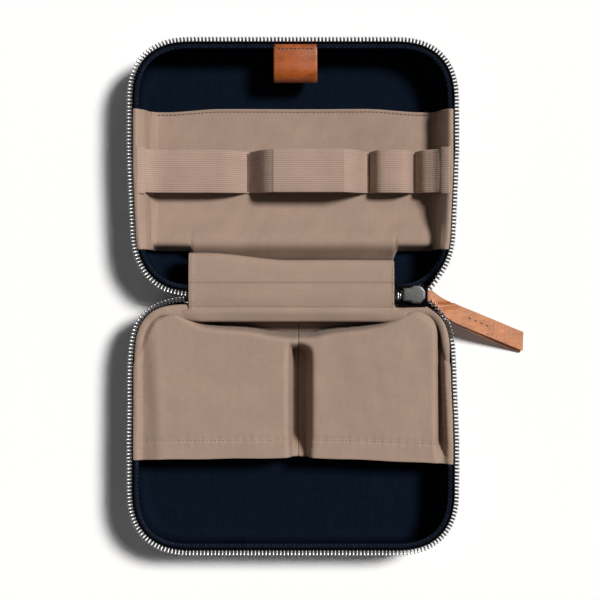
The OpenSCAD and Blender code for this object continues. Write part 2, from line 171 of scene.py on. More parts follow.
class Nodes:
    """Short way to build a material's node tree."""

    def __init__(self, name):
        self.material = bpy.data.materials.new(name)
        self.material.use_nodes = True
        self.tree = self.material.node_tree
        self.shader = self.tree.nodes["Principled BSDF"]
        self.place = self.tree.nodes.new("ShaderNodeTexCoord").outputs["Object"]

    def add(self, kind, inputs=(), **settings):
        node = self.tree.nodes.new(kind)
        for key, value in settings.items():
            setattr(node, key, value)
        self.fill(node.inputs, dict(inputs))
        return node

    def fill(self, sockets, values):
        """Links each value that is a socket, and sets each one that is a number or a colour."""
        for key, value in values.items():
            if isinstance(value, bpy.types.NodeSocket):
                self.tree.links.new(value, sockets[key])
            else:
                sockets[key].default_value = value

    def surface(self, values):
        """Fills the shader's own sockets and returns the finished material."""
        self.fill(self.shader.inputs, values)
        return self.material

    def noise(self, scale, detail=4, roughness=0.55, stretch=(1, 1, 1)):
        mapping = self.add("ShaderNodeMapping", {"Vector": self.place, "Scale": stretch})
        return self.add("ShaderNodeTexNoise", {"Vector": mapping.outputs[0], "Scale": scale, "Detail": detail,
                                               "Roughness": roughness}).outputs["Fac"]

    def maths(self, operation, a, b=0.5):
        return self.add("ShaderNodeMath", {0: a, 1: b}, operation=operation).outputs[0]

    def bands(self, direction, pitch):
        """Waves across one axis, with one crest every pitch millimetres."""
        return self.add("ShaderNodeTexWave", {"Vector": self.place, "Scale": 2 * math.pi / 20 / (pitch * MM),
                                              "Distortion": 0.35, "Detail": 1.5, "Detail Scale": 2.0},
                        bands_direction=direction).outputs["Fac"]

    def ramp(self, factor, stops):
        node = self.add("ShaderNodeValToRGB", {"Fac": factor})
        ramp = node.color_ramp
        while len(ramp.elements) < len(stops):
            ramp.elements.new(0.5)
        for element, (position, colour) in zip(ramp.elements, stops):
            element.position = position
            element.color = (*colour, 1)
        return node.outputs["Color"]

    def mix(self, factor, a, b, blend="MIX"):
        node = self.add("ShaderNodeMix", data_type="RGBA", blend_type=blend)
        for socket, value in ((node.inputs["Factor"], factor), (node.inputs[6], a), (node.inputs[7], b)):
            if isinstance(value, bpy.types.NodeSocket):
                self.tree.links.new(value, socket)
            else:
                socket.default_value = value if not isinstance(value, tuple) else (*value[:3], 1)
        return node.outputs[2]

    def bump(self, height, distance, strength=1.0, normal=None):
        inputs = {"Height": height, "Distance": distance * MM, "Strength": strength}
        if normal is not None:
            inputs["Normal"] = normal
        return self.add("ShaderNodeBump", inputs).outputs["Normal"]


def shade(colour, factor):
    return tuple(c * factor for c in colour)


def fabric(name, colour, thread, roughness=0.85, sheen=0.25, slub=0.25, relief=0.12, gloss=0.25):
    """Plain weave: warp and weft bands with slubs and a soft change of tone."""
    n = Nodes(name)
    weave = n.maths("MAXIMUM", n.bands("X", thread), n.bands("Y", thread))
    weave = n.maths("MULTIPLY", weave, n.maths("ADD", n.bands("Z", thread), 0.6))
    warp = n.noise(1500, 3, 0.6, (1, 0.07, 0.07))
    weft = n.noise(1500, 3, 0.6, (0.07, 1, 1))
    slubs = n.maths("MULTIPLY", n.maths("ADD", warp, weft), 0.5)
    cloud = n.noise(45, 4, 0.6)
    tone = n.ramp(slubs, [(0.36, shade(colour, 1 - slub)), (0.64, shade(colour, 1 + slub))])
    patch = n.ramp(cloud, [(0.3, (0.94, 0.94, 0.945)), (0.7, (1.04, 1.035, 1.03))])
    tone = n.mix(1.0, tone, patch, "MULTIPLY")
    threads = n.ramp(weave, [(0.1, (0.97, 0.97, 0.97)), (0.9, (1.015, 1.015, 1.015))])
    relief_below = n.bump(slubs, 0.14, 0.6, n.bump(cloud, 0.5, 0.3))
    return n.surface({"Base Color": n.mix(1.0, tone, threads, "MULTIPLY"), "Roughness": roughness,
                      "Specular IOR Level": gloss, "Sheen Weight": sheen, "Sheen Roughness": 0.5,
                      "Normal": n.bump(weave, relief, 0.9, relief_below)})


def ribbed(name, colour):
    """Knitted elastic: ribs along X, with fine cross threads."""
    n = Nodes(name)
    ribs = n.bands("Y", 1.3)
    cross = n.bands("X", 0.8)
    pattern = n.maths("MULTIPLY", ribs, n.maths("ADD", n.maths("MULTIPLY", cross, 0.6), 0.5))
    tone = n.ramp(pattern, [(0.05, shade(colour, 0.84)), (0.8, shade(colour, 1.08))])
    patch = n.ramp(n.noise(60, 4), [(0.3, (0.9, 0.9, 0.9)), (0.7, (1.06, 1.06, 1.06))])
    return n.surface({"Base Color": n.mix(1.0, tone, patch, "MULTIPLY"),
                      "Roughness": 0.8, "Sheen Weight": 0.2,
                      "Normal": n.bump(pattern, 0.2, 0.8, n.bump(n.noise(900, 2), 0.1, 0.5))})


def leather(name, colour):
    """Waxed vegetable-tanned leather with pores, pull-up marks and darker rubbed patches."""
    n = Nodes(name)
    pattern = n.add("ShaderNodeTexVoronoi", {"Vector": n.place, "Scale": 1100.0}, feature="DISTANCE_TO_EDGE")
    cells = n.maths("MINIMUM", n.maths("MULTIPLY", pattern.outputs["Distance"], 4.0), 1.0)
    cloud = n.noise(70, 6, 0.65)
    streak = n.noise(260, 5, 0.6, (0.5, 1.6, 1))
    tone = n.ramp(cloud, [(0.28, shade(colour, 0.62)), (0.5, colour), (0.74, shade(colour, 1.42))])
    marks = n.ramp(streak, [(0.35, (0.84, 0.8, 0.76)), (0.65, (1.1, 1.08, 1.05))])
    tone = n.mix(1.0, tone, marks, "MULTIPLY")
    pores = n.ramp(cells, [(0.0, (0.7, 0.66, 0.62)), (0.5, (1, 1, 1))])
    return n.surface({"Base Color": n.mix(0.7, tone, n.mix(1.0, tone, pores, "MULTIPLY")),
                      "Roughness": n.ramp(cloud, [(0.3, (0.36,) * 3), (0.7, (0.52,) * 3)]),
                      "Specular IOR Level": 0.5, "Coat Weight": 0.06, "Coat Roughness": 0.35,
                      "Normal": n.bump(cells, 0.08, 0.6, n.bump(streak, 0.35, 0.45))})


def metal(name, colour, roughness, brush=(1, 1, 1), grain=0.06):
    """Bare metal with fine scratches along the brushed way."""
    n = Nodes(name)
    scratch = n.noise(1400, 3, 0.6, brush)
    tone = n.ramp(scratch, [(0.3, shade(colour, 0.8)), (0.7, shade(colour, 1.12))])
    rough = n.ramp(scratch, [(0.3, (roughness * 0.8,) * 3), (0.7, (roughness * 1.25,) * 3)])
    return n.surface({"Base Color": tone, "Metallic": 1.0, "Roughness": rough,
                      "Normal": n.bump(scratch, grain, 0.5)})


SHELL = fabric("shell_fabric", (0.034, 0.039, 0.05), 0.9, sheen=0.15, slub=0.45, relief=0.2)
LINING = fabric("lining_fabric", (0.0042, 0.0078, 0.0155), 0.5, 0.9, 0.0, 0.22, 0.05, gloss=0.0)
BINDING = fabric("binding_fabric", (0.0065, 0.0095, 0.018), 0.6, 0.9, 0.0, 0.3, 0.1, gloss=0.0)
TAPE = fabric("zip_tape_twill", (0.0035, 0.0036, 0.0044), 0.7, 0.75, 0.0, 0.3, 0.15, gloss=0.0)
TAUPE = fabric("pocket_fabric", (0.342, 0.243, 0.188), 0.62, sheen=0.05, slub=0.045, relief=0.03)
ELASTIC = ribbed("elastic_rib", (0.395, 0.27, 0.212))
LOOP_LEATHER = leather("loop_leather", (0.38, 0.085, 0.008))
STRAP_LEATHER = leather("strap_leather", (0.46, 0.17, 0.062))
TOOTH = metal("tooth_nickel", (0.43, 0.43, 0.43), 0.34)
SLIDER = metal("slider_brushed", (0.13, 0.13, 0.13), 0.5, (0.6, 1.0, 1.0), 0.03)
THREAD_DARK = fabric("thread_brown", (0.10, 0.045, 0.022), 0.3, slub=0.3)
THREAD_TAUPE = fabric("thread_taupe", (0.2, 0.125, 0.085), 0.3, slub=0.3)
THREAD_NAVY = fabric("thread_navy", (0.016, 0.022, 0.04), 0.3, slub=0.3)


# ---- Outline of a tray ------------------------------------------------------------------

# The teeth's outline: how far it lies outside the gusset, its round corners, and its sides' curve
SHELL_INSET = 1.2
CORNER_LEN = 40.0
CORNER_EXP = 2.5
SIDE_BOW = 0.6
SIDE_PINCH = 2.4
HALF_X = mm_box("base_gusset")[1][0] + SHELL_INSET - SIDE_BOW
HALF_Y = HINGE_Y - 0.4
FLOOR_Z = 3.75


def side_drift(y):
    """How far the side walls bow outwards, less how far they are drawn in towards the spine."""
    return SIDE_BOW * (1 - (y / HALF_Y) ** 2) - SIDE_PINCH * np.clip((y + 10) / 60, 0, 1)


def dense_outline():
    """The tray's outline as a fine open polyline, from the spine's right end round to its left end."""
    a = np.radians(np.linspace(0, 90, 160))
    qx = HALF_X - CORNER_LEN + CORNER_LEN * np.sin(a) ** (2 / CORNER_EXP)
    qy = HALF_Y - CORNER_LEN + CORNER_LEN * np.cos(a) ** (2 / CORNER_EXP)
    side = np.linspace(qy[-1], -qy[-1], 40)[1:-1]
    front = np.linspace(qx[0], -qx[0], 60)[1:-1]
    x = np.concatenate([qx, np.full(38, HALF_X), qx[::-1], front, -qx, np.full(38, -HALF_X), -qx[::-1]])
    y = np.concatenate([qy, side, -qy[::-1], np.full(58, -HALF_Y), -qy, side[::-1], qy[::-1]])
    return np.stack([x * (1 + side_drift(y) / HALF_X), y], 1)


def lengths(points):
    """Distance of each point along a polyline."""
    return np.concatenate([[0], np.cumsum(np.linalg.norm(np.diff(points, axis=0), axis=1))])


OUTLINE = dense_outline()
OUTLINE_AT = lengths(OUTLINE)
OUTLINE_LEN = OUTLINE_AT[-1]


def on_outline(at):
    """Points and outward normals at these distances along the outline."""
    p = np.stack([np.interp(at, OUTLINE_AT, OUTLINE[:, k]) for k in (0, 1)], 1)
    ahead = np.stack([np.interp(at + 1, OUTLINE_AT, OUTLINE[:, k]) for k in (0, 1)], 1)
    behind = np.stack([np.interp(at - 1, OUTLINE_AT, OUTLINE[:, k]) for k in (0, 1)], 1)
    t = ahead - behind
    t /= np.linalg.norm(t, axis=1, keepdims=True)
    return p, np.stack([-t[:, 1], t[:, 0]], 1)


def smooth(t):
    """A soft step from 0 at 0 to 1 at 1."""
    t = np.clip(t, 0, 1)
    return t * t * (3 - 2 * t)


def inset_of(x, y):
    """Distance of points from the outline, without its straight side at the spine."""
    flat = np.stack([np.ravel(x), np.ravel(y)], 1)
    out = np.empty(len(flat))
    for i in range(0, len(flat), 4000):
        gap = flat[i:i + 4000, None, :] - OUTLINE[None, ::2, :]
        out[i:i + 4000] = np.sqrt((gap ** 2).sum(2).min(1))
    return out.reshape(np.shape(x))


def half_width(y, inset):
    """Half the tray's width at this depth, measured to a line that runs inset inside the outline."""
    v = np.clip((np.abs(y) - (HALF_Y - CORNER_LEN)) / (CORNER_LEN - inset), 0, 0.9995)
    x = HALF_X - CORNER_LEN + (CORNER_LEN - inset) * (1 - v ** CORNER_EXP) ** (1 / CORNER_EXP)
    return x * (1 + side_drift(y) / HALF_X)


def ripple(x, y, wave, seed, count=7):
    """Smooth uneven waves of about this length, between -1 and 1."""
    rng = np.random.default_rng(seed)
    total = 0
    for _ in range(count):
        a, k = rng.uniform(0, math.pi), 2 * math.pi / (wave * rng.uniform(0.6, 1.7))
        total = total + np.sin(k * (x * math.cos(a) + y * math.sin(a)) + rng.uniform(0, 2 * math.pi))
    return total / count * 1.6


def waves(x, y, seed, *sizes):
    """Ripples added up, each given as its height and its wave length."""
    return sum(height * ripple(x, y, length, seed + i) for i, (height, length) in enumerate(sizes))


def per_row(values, shape):
    """One value for each row of a grid, the same in all its columns."""
    return np.broadcast_to(values[:, None], shape).copy()


# ---- Meshes -----------------------------------------------------------------------------

def flip_to_lid(points):
    """The lid is the base mirrored across the hinge plane."""
    return points * np.array([1, -1, 1]) + np.array([0, 2 * HINGE_Y, 0])


def corner_give(points, amount):
    """Pushes the soft corners beside the spine outwards by up to this amount."""
    x, y, z = points.T
    lifted = smooth(z / 16)
    near = amount * np.exp(-((np.abs(x) - 90) / 13) ** 2 - ((y - 64) / 17) ** 2) * lifted
    left = 0.8 * max(amount, 0) * (x < 0) * np.exp(-((y - 36) / 26) ** 2) * smooth((-70 - x) / 22) * lifted
    return points + np.stack([0.8 * near * np.sign(x) - left, 0.5 * near, np.zeros(len(x))], 1)


CORNER_GIVE = {"base": 1.7, "lid": -0.9}


def new_piece(name, points, faces, material, side=""):
    """A mesh object from points in millimetres. With a side, the points are those of a tray."""
    points = np.asarray(points, float)
    if side:
        points = corner_give(points, CORNER_GIVE[side])
    if side == "lid":
        points = flip_to_lid(points)
        faces = [tuple(reversed(f)) for f in faces]
    mesh = bpy.data.meshes.new(name)
    mesh.from_pydata((points * MM).tolist(), [], [tuple(map(int, f)) for f in faces])
    mesh.materials.append(material)
    mesh.validate()
    mesh.shade_smooth()
    piece = bpy.data.objects.new(name, mesh)
    bpy.context.scene.collection.objects.link(piece)
    return piece


def grid_faces(rows, columns, closed_rows=False, closed_columns=False):
    """Four-sided faces between the points of a grid."""
    r = np.arange(rows if closed_rows else rows - 1)
    c = np.arange(columns if closed_columns else columns - 1)
    r, c = [g.ravel() for g in np.meshgrid(r, c, indexing="ij")]
    r2, c2 = (r + 1) % rows, (c + 1) % columns
    corners = [r * columns + c, r * columns + c2, r2 * columns + c2, r2 * columns + c]
    return np.stack(corners, 1).tolist()


def tube_faces(count, columns):
    """Faces of a closed tube through count rings, with both its ends."""
    last = (count - 1) * columns
    ends = [tuple(range(columns - 1, -1, -1)), tuple(range(last, last + columns))]
    return grid_faces(count, columns, closed_columns=True) + ends


def solidify(piece, thickness):
    """Thickens a sheet about its middle."""
    m = piece.modifiers.new("thickness", "SOLIDIFY")
    m.thickness = thickness * MM
    m.offset = 0.0
    m.use_even_offset = False


def subdivide(piece):
    m = piece.modifiers.new("subdivision", "SUBSURF")
    m.levels = m.render_levels = 1


def bevel(piece, width):
    m = piece.modifiers.new("bevel", "BEVEL")
    m.width = width * MM
    m.segments = 2
    m.limit_method = "ANGLE"


def settle(piece):
    """Applies the piece's modifiers to its mesh."""
    bpy.context.view_layer.update()
    graph = bpy.context.evaluated_depsgraph_get()
    mesh = bpy.data.meshes.new_from_object(piece.evaluated_get(graph), depsgraph=graph)
    piece.modifiers.clear()
    piece.data = mesh
    piece.data.name = piece.name


def finish_piece(piece, body, slot, *nodes):
    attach(piece, body)
    if nodes:
        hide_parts(*nodes)
    return piece


def smooth_profile(points, steps):
    """A curve through these points, with steps pieces between each pair."""
    p = np.asarray(points, float)
    q = np.vstack([2 * p[0] - p[1], p, 2 * p[-1] - p[-2]])
    t = np.linspace(0, 1, steps, endpoint=False)[:, None]
    out = []
    for a, b, c, d in zip(q, q[1:], q[2:], q[3:]):
        bend = (2 * a - 5 * b + 4 * c - d) * t ** 2 + (3 * b - a - 3 * c + d) * t ** 3
        out.append(0.5 * (2 * b + (c - a) * t + bend))
    return np.vstack([*out, p[-1:]])


# The slider turns in a hollow of the rim at the right end of the spine
HOLLOW_X = (57.0, 66.0, 82.0, 94.0)


def hollow(x, y):
    """How far the rim drops for the slider, from 0 to 1."""
    start, full, fading, end = HOLLOW_X
    along = smooth((x - start) / (full - start)) * (1 - smooth((x - fading) / (end - fading)))
    return along * smooth((y - 40) / 15)


# The rim drops there by this share of its height above 15 mm
DIP = 0.5

# Each tray's wall has wrinkles of its own
WRINKLE = 0.45
WRINKLE_SEED = {"base": 3, "lid": 8}


def ring(inset, z, count=300, spine=50):
    """One closed level line of a tray, with its straight run along the spine."""
    p = rim_line(np.linspace(0, OUTLINE_LEN, count), inset, z)
    back = np.linspace(p[-1], p[0], spine + 2)[1:-1]
    return np.vstack([p, back])


def tray_rings(profile, floor_z, seed):
    """Rings along the profile, then smaller and smaller ones towards the middle of the floor."""
    rings = [ring(inset, z) for inset, z in profile]
    last = rings[-1]
    for scale in (0.985, 0.96, 0.93, 0.89, 0.84, 0.78, 0.71, 0.63, 0.54, 0.44, 0.33, 0.2, 0.08):
        height = floor_z + (last[0, 2] - floor_z) * max(0, scale - 0.9) * 10
        rings.append(last * np.array([scale, scale, 0]) + np.array([0, 0, height]))
    points = np.array(rings)
    x, y, z = points[..., 0], points[..., 1], points[..., 2]
    wave = ripple(x + 0.6 * z, y - 0.6 * z, 34, seed) + 0.45 * ripple(x - z, y + z, 13, seed + 1)
    inward = np.stack([-x, -y], -1) / np.maximum(np.hypot(x, y), 1)[..., None]
    wall = smooth((z - FLOOR_Z - 2) / 8) * (1 - smooth((z - 22) / 5))
    points[..., :2] += inward * (wall * WRINKLE * wave)[..., None]
    if floor_z > 1:
        points[..., 2] += np.abs(wave) * WRINKLE * 0.6 * (1 - smooth((z - floor_z) / 3))
    return points


def recalc(piece):
    """Turns all faces to point outwards."""
    mesh = bmesh.new()
    mesh.from_mesh(piece.data)
    bmesh.ops.recalc_face_normals(mesh, faces=mesh.faces)
    mesh.to_mesh(piece.data)
    mesh.free()


def loft(name, rings, material, side=""):
    """A closed tube through rings of points."""
    rings = np.asarray(rings, float)
    piece = new_piece(name, rings.reshape(-1, 3), tube_faces(*rings.shape[:2]), material, side)
    recalc(piece)
    return piece


def sheet_grid(name, points, material, side, thickness):
    """An open sheet through a grid of points, thickened about its middle."""
    points = np.asarray(points, float)
    rows, columns = points.shape[:2]
    piece = new_piece(name, points.reshape(-1, 3), grid_faces(rows, columns), material, side)
    solidify(piece, thickness)
    subdivide(piece)
    settle(piece)
    piece.data.shade_smooth()
    return piece


def join_meshes(name, parts, material, side=""):
    """One piece from many (points, faces) pairs."""
    points, faces, first = [], [], 0
    for p, f in parts:
        points.append(p)
        faces += [tuple(i + first for i in face) for face in f]
        first += len(p)
    piece = new_piece(name, np.vstack(points), faces, material, side)
    recalc(piece)
    return piece


THREAD_SIDES = 6


def tube_part(line, radius):
    """Points and faces of a thread along a line, thinner at its ends."""
    line = np.asarray(line, float)
    tangent = np.gradient(line, axis=0)
    tangent /= np.linalg.norm(tangent, axis=1, keepdims=True)
    side = np.cross(tangent, (0, 0, 1))
    bad = np.linalg.norm(side, axis=1) < 0.1
    side[bad] = (1, 0, 0)
    side /= np.linalg.norm(side, axis=1, keepdims=True)
    up = np.cross(side, tangent)
    a = np.linspace(0, 2 * math.pi, THREAD_SIDES, endpoint=False)[None, :, None]
    r = np.full((len(line), 1, 1), radius)
    r[[0, -1]] *= 0.35
    points = line[:, None] + r * (np.cos(a) * side[:, None] + np.sin(a) * up[:, None])
    return points.reshape(-1, 3), tube_faces(len(line), THREAD_SIDES)


def stitches(name, line, pitch, length, material, side="", radius=0.24, bury=0.05, keep=None):
    """A row of stitches along a line: each rises out of the cloth and goes back in."""
    line = np.asarray(line, float)
    at = lengths(line)
    parts = []
    for start in np.arange(pitch * 0.3, at[-1] - length, pitch):
        s = start + length * np.array([0, 0.2, 0.5, 0.8, 1.0])
        p = np.stack([np.interp(s, at, line[:, k]) for k in range(3)], 1)
        p[:, 2] += np.array([-0.28, 0.02, 0.1, 0.02, -0.28]) - bury
        if keep is None or keep(p[2, 1]):
            parts.append(tube_part(p, radius))
    return join_meshes(name, parts, material, side)


# ---- Shell, foam and lining ---------------------------------------------------------------

RIGHT_QUARTER = OUTLINE[:160]


def at_x(x):
    """Distance along the outline of the place where it passes x, in the corner at the spine's right end."""
    return float(np.interp(x, RIGHT_QUARTER[:, 0], OUTLINE_AT[:160]))


COVER_HALF = mm_box("base_spine_cover")[1][0]
AT_COVER = at_x(COVER_HALF + 0.4)
RIM_FROM, RIM_TO = AT_COVER, OUTLINE_LEN - AT_COVER

OUTSIDE = smooth_profile([(12, 0.05), (8.6, 0.25), (5.6, 1.7), (3.4, 4.4), (1.9, 8.2)], 3)
OUTSIDE = np.vstack([OUTSIDE, [(2.15, 8.7), (2.35, 9.0), (2.1, 9.35)],
                     smooth_profile([(1.65, 10), (1.2, 15), (1.3, 20), (1.9, 25), (2.6, 28)], 3)])
INSIDE = smooth_profile([(5.9, 28.2), (5.3, 24), (5.0, 17), (5.6, 10.5), (7.6, 6.2), (11.5, 4.0)], 3)
DEEPER = INSIDE + np.array([-0.55, -0.35])


def pad(side):
    """Outer fabric and foam of one tray, closed at the rim."""
    foam_floor = FLOOR_Z - 0.45
    outside = tray_rings(OUTSIDE[::-1], 0.0, WRINKLE_SEED[side])
    inside = tray_rings(DEEPER, foam_floor, WRINKLE_SEED[side])
    rings = np.vstack([outside[::-1], inside])
    rows, columns = rings.shape[:2]
    count = rows * columns
    last = count - columns
    points = np.vstack([rings.reshape(-1, 3), [[0, 0, 0.0], [0, 0, foam_floor]]])
    faces = grid_faces(rows, columns, closed_columns=True)
    faces += [((i + 1) % columns, i, count) for i in range(columns)]
    faces += [(last + i, last + (i + 1) % columns, count + 1) for i in range(columns)]
    piece = new_piece(side + "_shell", points, faces, SHELL, side)
    recalc(piece)
    finish_piece(piece, side, "shell_fabric", side + "_outer_panel", side + "_gusset", side + "_foam")


def lining(side):
    """Thin navy cloth over the foam."""
    rings = tray_rings(INSIDE, FLOOR_Z, WRINKLE_SEED[side])
    rows, columns = rings.shape[:2]
    points = np.vstack([rings.reshape(-1, 3), [[0, 0, FLOOR_Z]]])
    faces = grid_faces(rows, columns, closed_columns=True)
    last = (rows - 1) * columns
    faces += [(last + i, last + (i + 1) % columns, rows * columns) for i in range(columns)]
    piece = new_piece(side + "_lining_cloth", points, faces, LINING, side)
    solidify(piece, 0.5)
    settle(piece)
    piece.data.shade_smooth()
    finish_piece(piece, side, "lining_fabric", side + "_lining")


def rim_line(at, inset, z, dip=1.0):
    """Points along the rim at this inset and height."""
    p, n = on_outline(at)
    p = p - n * np.asarray(inset, float).reshape(-1, 1)
    z = np.broadcast_to(np.asarray(z, float), len(p)).copy()
    z = np.where(z > 15, 15 + (z - 15) * (1 - dip * DIP * hollow(p[:, 0], p[:, 1])), z)
    return np.column_stack([p, z])


# The base's pocket border covers this much of each end of the binding
BORDER_HIDES = 16.0


def stitched(side):
    """Whether a place along the tray's depth has binding stitches, and no pocket over them."""
    if side == "base":
        return lambda y: y < MOUTH_Y - 1
    return lambda y: not PANEL_Y0 - 8 < 2 * HINGE_Y - y < PANEL_Y1 + 1


def binding(side):
    """Folded tape over the raw edges, with small puckers where it is sewn."""
    hidden = BORDER_HIDES if side == "base" else 0.0
    at = np.arange(RIM_FROM + hidden, RIM_TO - hidden, 1.3)
    sunk = 1.8 * smooth((on_outline(at)[0][:, 1] - MOUTH_Y + 4) / 3.5) * (side == "base")
    a = np.linspace(0, 2 * math.pi, 14, endpoint=False)
    rings = []
    for t in a:
        up = math.sin(t)
        inset = 5.0 + 1.55 * math.cos(t) + 0.25 * math.cos(2 * t) + 0.14 * np.sin(at * 1.15) * up
        z = 29.3 - sunk + 1.9 * up + 0.12 * np.sin(at * 1.15 + 1) * max(0, up)
        rings.append(rim_line(at, inset, z))
    piece = loft(side + "_binding_roll", np.stack(rings, 1), BINDING, side)
    finish_piece(piece, side, "lining_fabric", side + "_binding")
    line = rim_line(np.arange(RIM_FROM + 2, RIM_TO - 2, 1.0), 5.9, 30.75)
    seam = stitches(side + "_binding_stitches", line, 2.6, 1.8, THREAD_NAVY, side, 0.17, keep=stitched(side))
    finish_piece(seam, side, "thread")


# ---- Zip --------------------------------------------------------------------------------

MOUTH_X = mm_box("slider_body")[1][0]


def chain_points(at, inset, z):
    """Points along the chain; near the slider it leaves the rim and runs into the slider's mouth."""
    p, n = on_outline(at)
    p = p - n * np.asarray(inset, float).reshape(-1, 1)
    near = (1 - np.clip((p[:, 0] - MOUTH_X - 1.5) / 10.5, 0, 1)) ** 1.4 * (p[:, 1] > 40) * (p[:, 0] > 0)
    z = np.broadcast_to(np.asarray(z, float), len(p)).copy()
    p = p + near[:, None] * np.array([0, 3.6])
    return np.column_stack([p, z + near * 1.0])


# Half a tooth's outline, out from the tape and across, and its width at each height
TOOTH_PLAN = [(-1.7, 0.5), (-1.45, 0.68), (-0.3, 0.68), (0.1, 0.6), (0.5, 0.58), (0.8, 0.7), (1.3, 0.74),
              (1.62, 0.48), (1.75, 0.0)]
TOOTH_LEVELS = [(-0.56, 0.74), (-0.38, 1.0), (0.36, 1.0), (0.56, 0.7)]
TOOTH_LEAN = math.radians(22)


def tooth_part():
    """Points and faces of one tooth that points along X."""
    half = np.array(TOOTH_PLAN)
    plan = np.vstack([half, half[-2::-1] * np.array([1, -1])])
    rings = [np.column_stack([plan * [0.5 + 0.5 * s, s], np.full(len(plan), w)]) for w, s in TOOTH_LEVELS]
    return np.vstack(rings), tube_faces(len(rings), len(plan))


def place_teeth(centres, outward, lean):
    """Copies of the tooth, each pointing outwards and leaning up."""
    shape, faces = tooth_part()
    parts = []
    for c, o in zip(centres, outward):
        flat = np.array([o[0], o[1], 0.0])
        flat /= np.linalg.norm(flat)
        along = np.array([-flat[1], flat[0], 0.0])
        axis = flat * math.cos(lean) + np.array([0, 0, math.sin(lean)])
        thick = np.cross(axis, along)
        parts.append((c + shape @ np.array([axis, along, thick]), faces))
    return parts


TOOTH_PITCH = 2.25
CHAIN_INSET = 1.15
CHAIN_Z = 30.55
# The tape's inset and height, from its sewn edge up to the teeth
TAPE_PROFILE = [(4.5, 22.4), (4.4, 24.4), (4.3, 26.4), (3.7, 28.2), (3.2, 29.5), (2.7, 30.1), (2.2, 30.4)]


def chain(side):
    """One tray's row of teeth and its tape."""
    shift = 0.0 if side == "base" else TOOTH_PITCH / 2
    at = np.arange(at_x(MOUTH_X + 3.2) + shift, RIM_TO - 1.6, TOOTH_PITCH)
    behind, centre, ahead = [chain_points(at + step, CHAIN_INSET, CHAIN_Z) for step in (-0.6, 0, 0.6)]
    t = (ahead - behind)[:, :2]
    outward = np.stack([-t[:, 1], t[:, 0]], 1)
    teeth = join_meshes(side + "_chain_teeth", place_teeth(centre, outward, TOOTH_LEAN), TOOTH, side)
    finish_piece(teeth, side, "tooth_metal", side + "_zip_teeth")
    # Tape: its upper edge follows the chain, its lower edge the rim
    at = np.arange(at_x(MOUTH_X + 1.6), RIM_TO, 1.2)
    columns = []
    for k, (inset, z) in enumerate(TAPE_PROFILE):
        low, high = rim_line(at, inset, z), chain_points(at, inset, z)
        columns.append(low + (high - low) * smooth((k - 1) / 4))
    piece = sheet_grid(side + "_tape_cloth", np.stack(columns, 1), TAPE, side, 0.7)
    finish_piece(piece, side, "zip_tape", side + "_zip_tape")


def joined_teeth():
    """The short stretch of chain behind the slider, with both rows meshed."""
    box = mm_box("zip_joined_teeth")
    xs = np.arange(box[0][0] + 0.6, box[1][0] - 0.4, TOOTH_PITCH / 2)
    centres = [(x, HINGE_Y + 1.7 * (i % 2), RIM_Z) for i, x in enumerate(xs)]
    outward = [(0, 1 - 2 * (i % 2)) for i in range(len(xs))]
    teeth = join_meshes("joined_chain_teeth", place_teeth(np.array(centres), outward, 0.0), TOOTH)
    finish_piece(teeth, "zip_end", "tooth_metal", "zip_joined_teeth")


def end_tape():
    """Both tapes beside the joined teeth, and the pieces of tape that the slider hides."""
    x = np.linspace(COVER_HALF + 0.6, MOUTH_X + 1.5, 24)
    rows = []
    for y in np.linspace(-6.6, 6.6, 13):
        z = RIM_Z - 0.1 - 0.05 * y * y + 0.12 * np.sin(x * 1.3 + y)
        rows.append(np.column_stack([x, np.full(len(x), HINGE_Y + y), z]))
    piece = sheet_grid("end_tape", np.stack(rows, 1), TAPE, "", 0.6)
    finish_piece(piece, "zip_end", "zip_tape")


# ---- Spine ------------------------------------------------------------------------------

# Across the cover, from the fold above the base pockets to the foot of the lid pocket
COVER_PROFILE = [(-9.6, 24.0), (-13.2, 25.6), (-15.4, 27.8), (-14.6, 29.9), (-11.0, 31.2), (-8.2, 31.0),
                 (-7.0, 30.5), (-5.8, 31.0), (-2, 31.8), (2, 32.0), (6, 31.8), (7.7, 31.6), (8.15, 29.9),
                 (8.5, 31.9), (13, 31.8), (18, 31.0), (20.8, 29.6), (21.8, 26.8), (21.6, 21.0), (21.4, 14.0),
                 (22.2, 9.4)]


def from_hinge(profile, steps):
    """A smooth curve in Y and Z through points whose Y is measured from the hinge."""
    return smooth_profile([(HINGE_Y + dy, z) for dy, z in profile], steps)


def blend_over_hinge(piece):
    """Bakes a spine fabric's placement into its mesh."""
    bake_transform(piece)


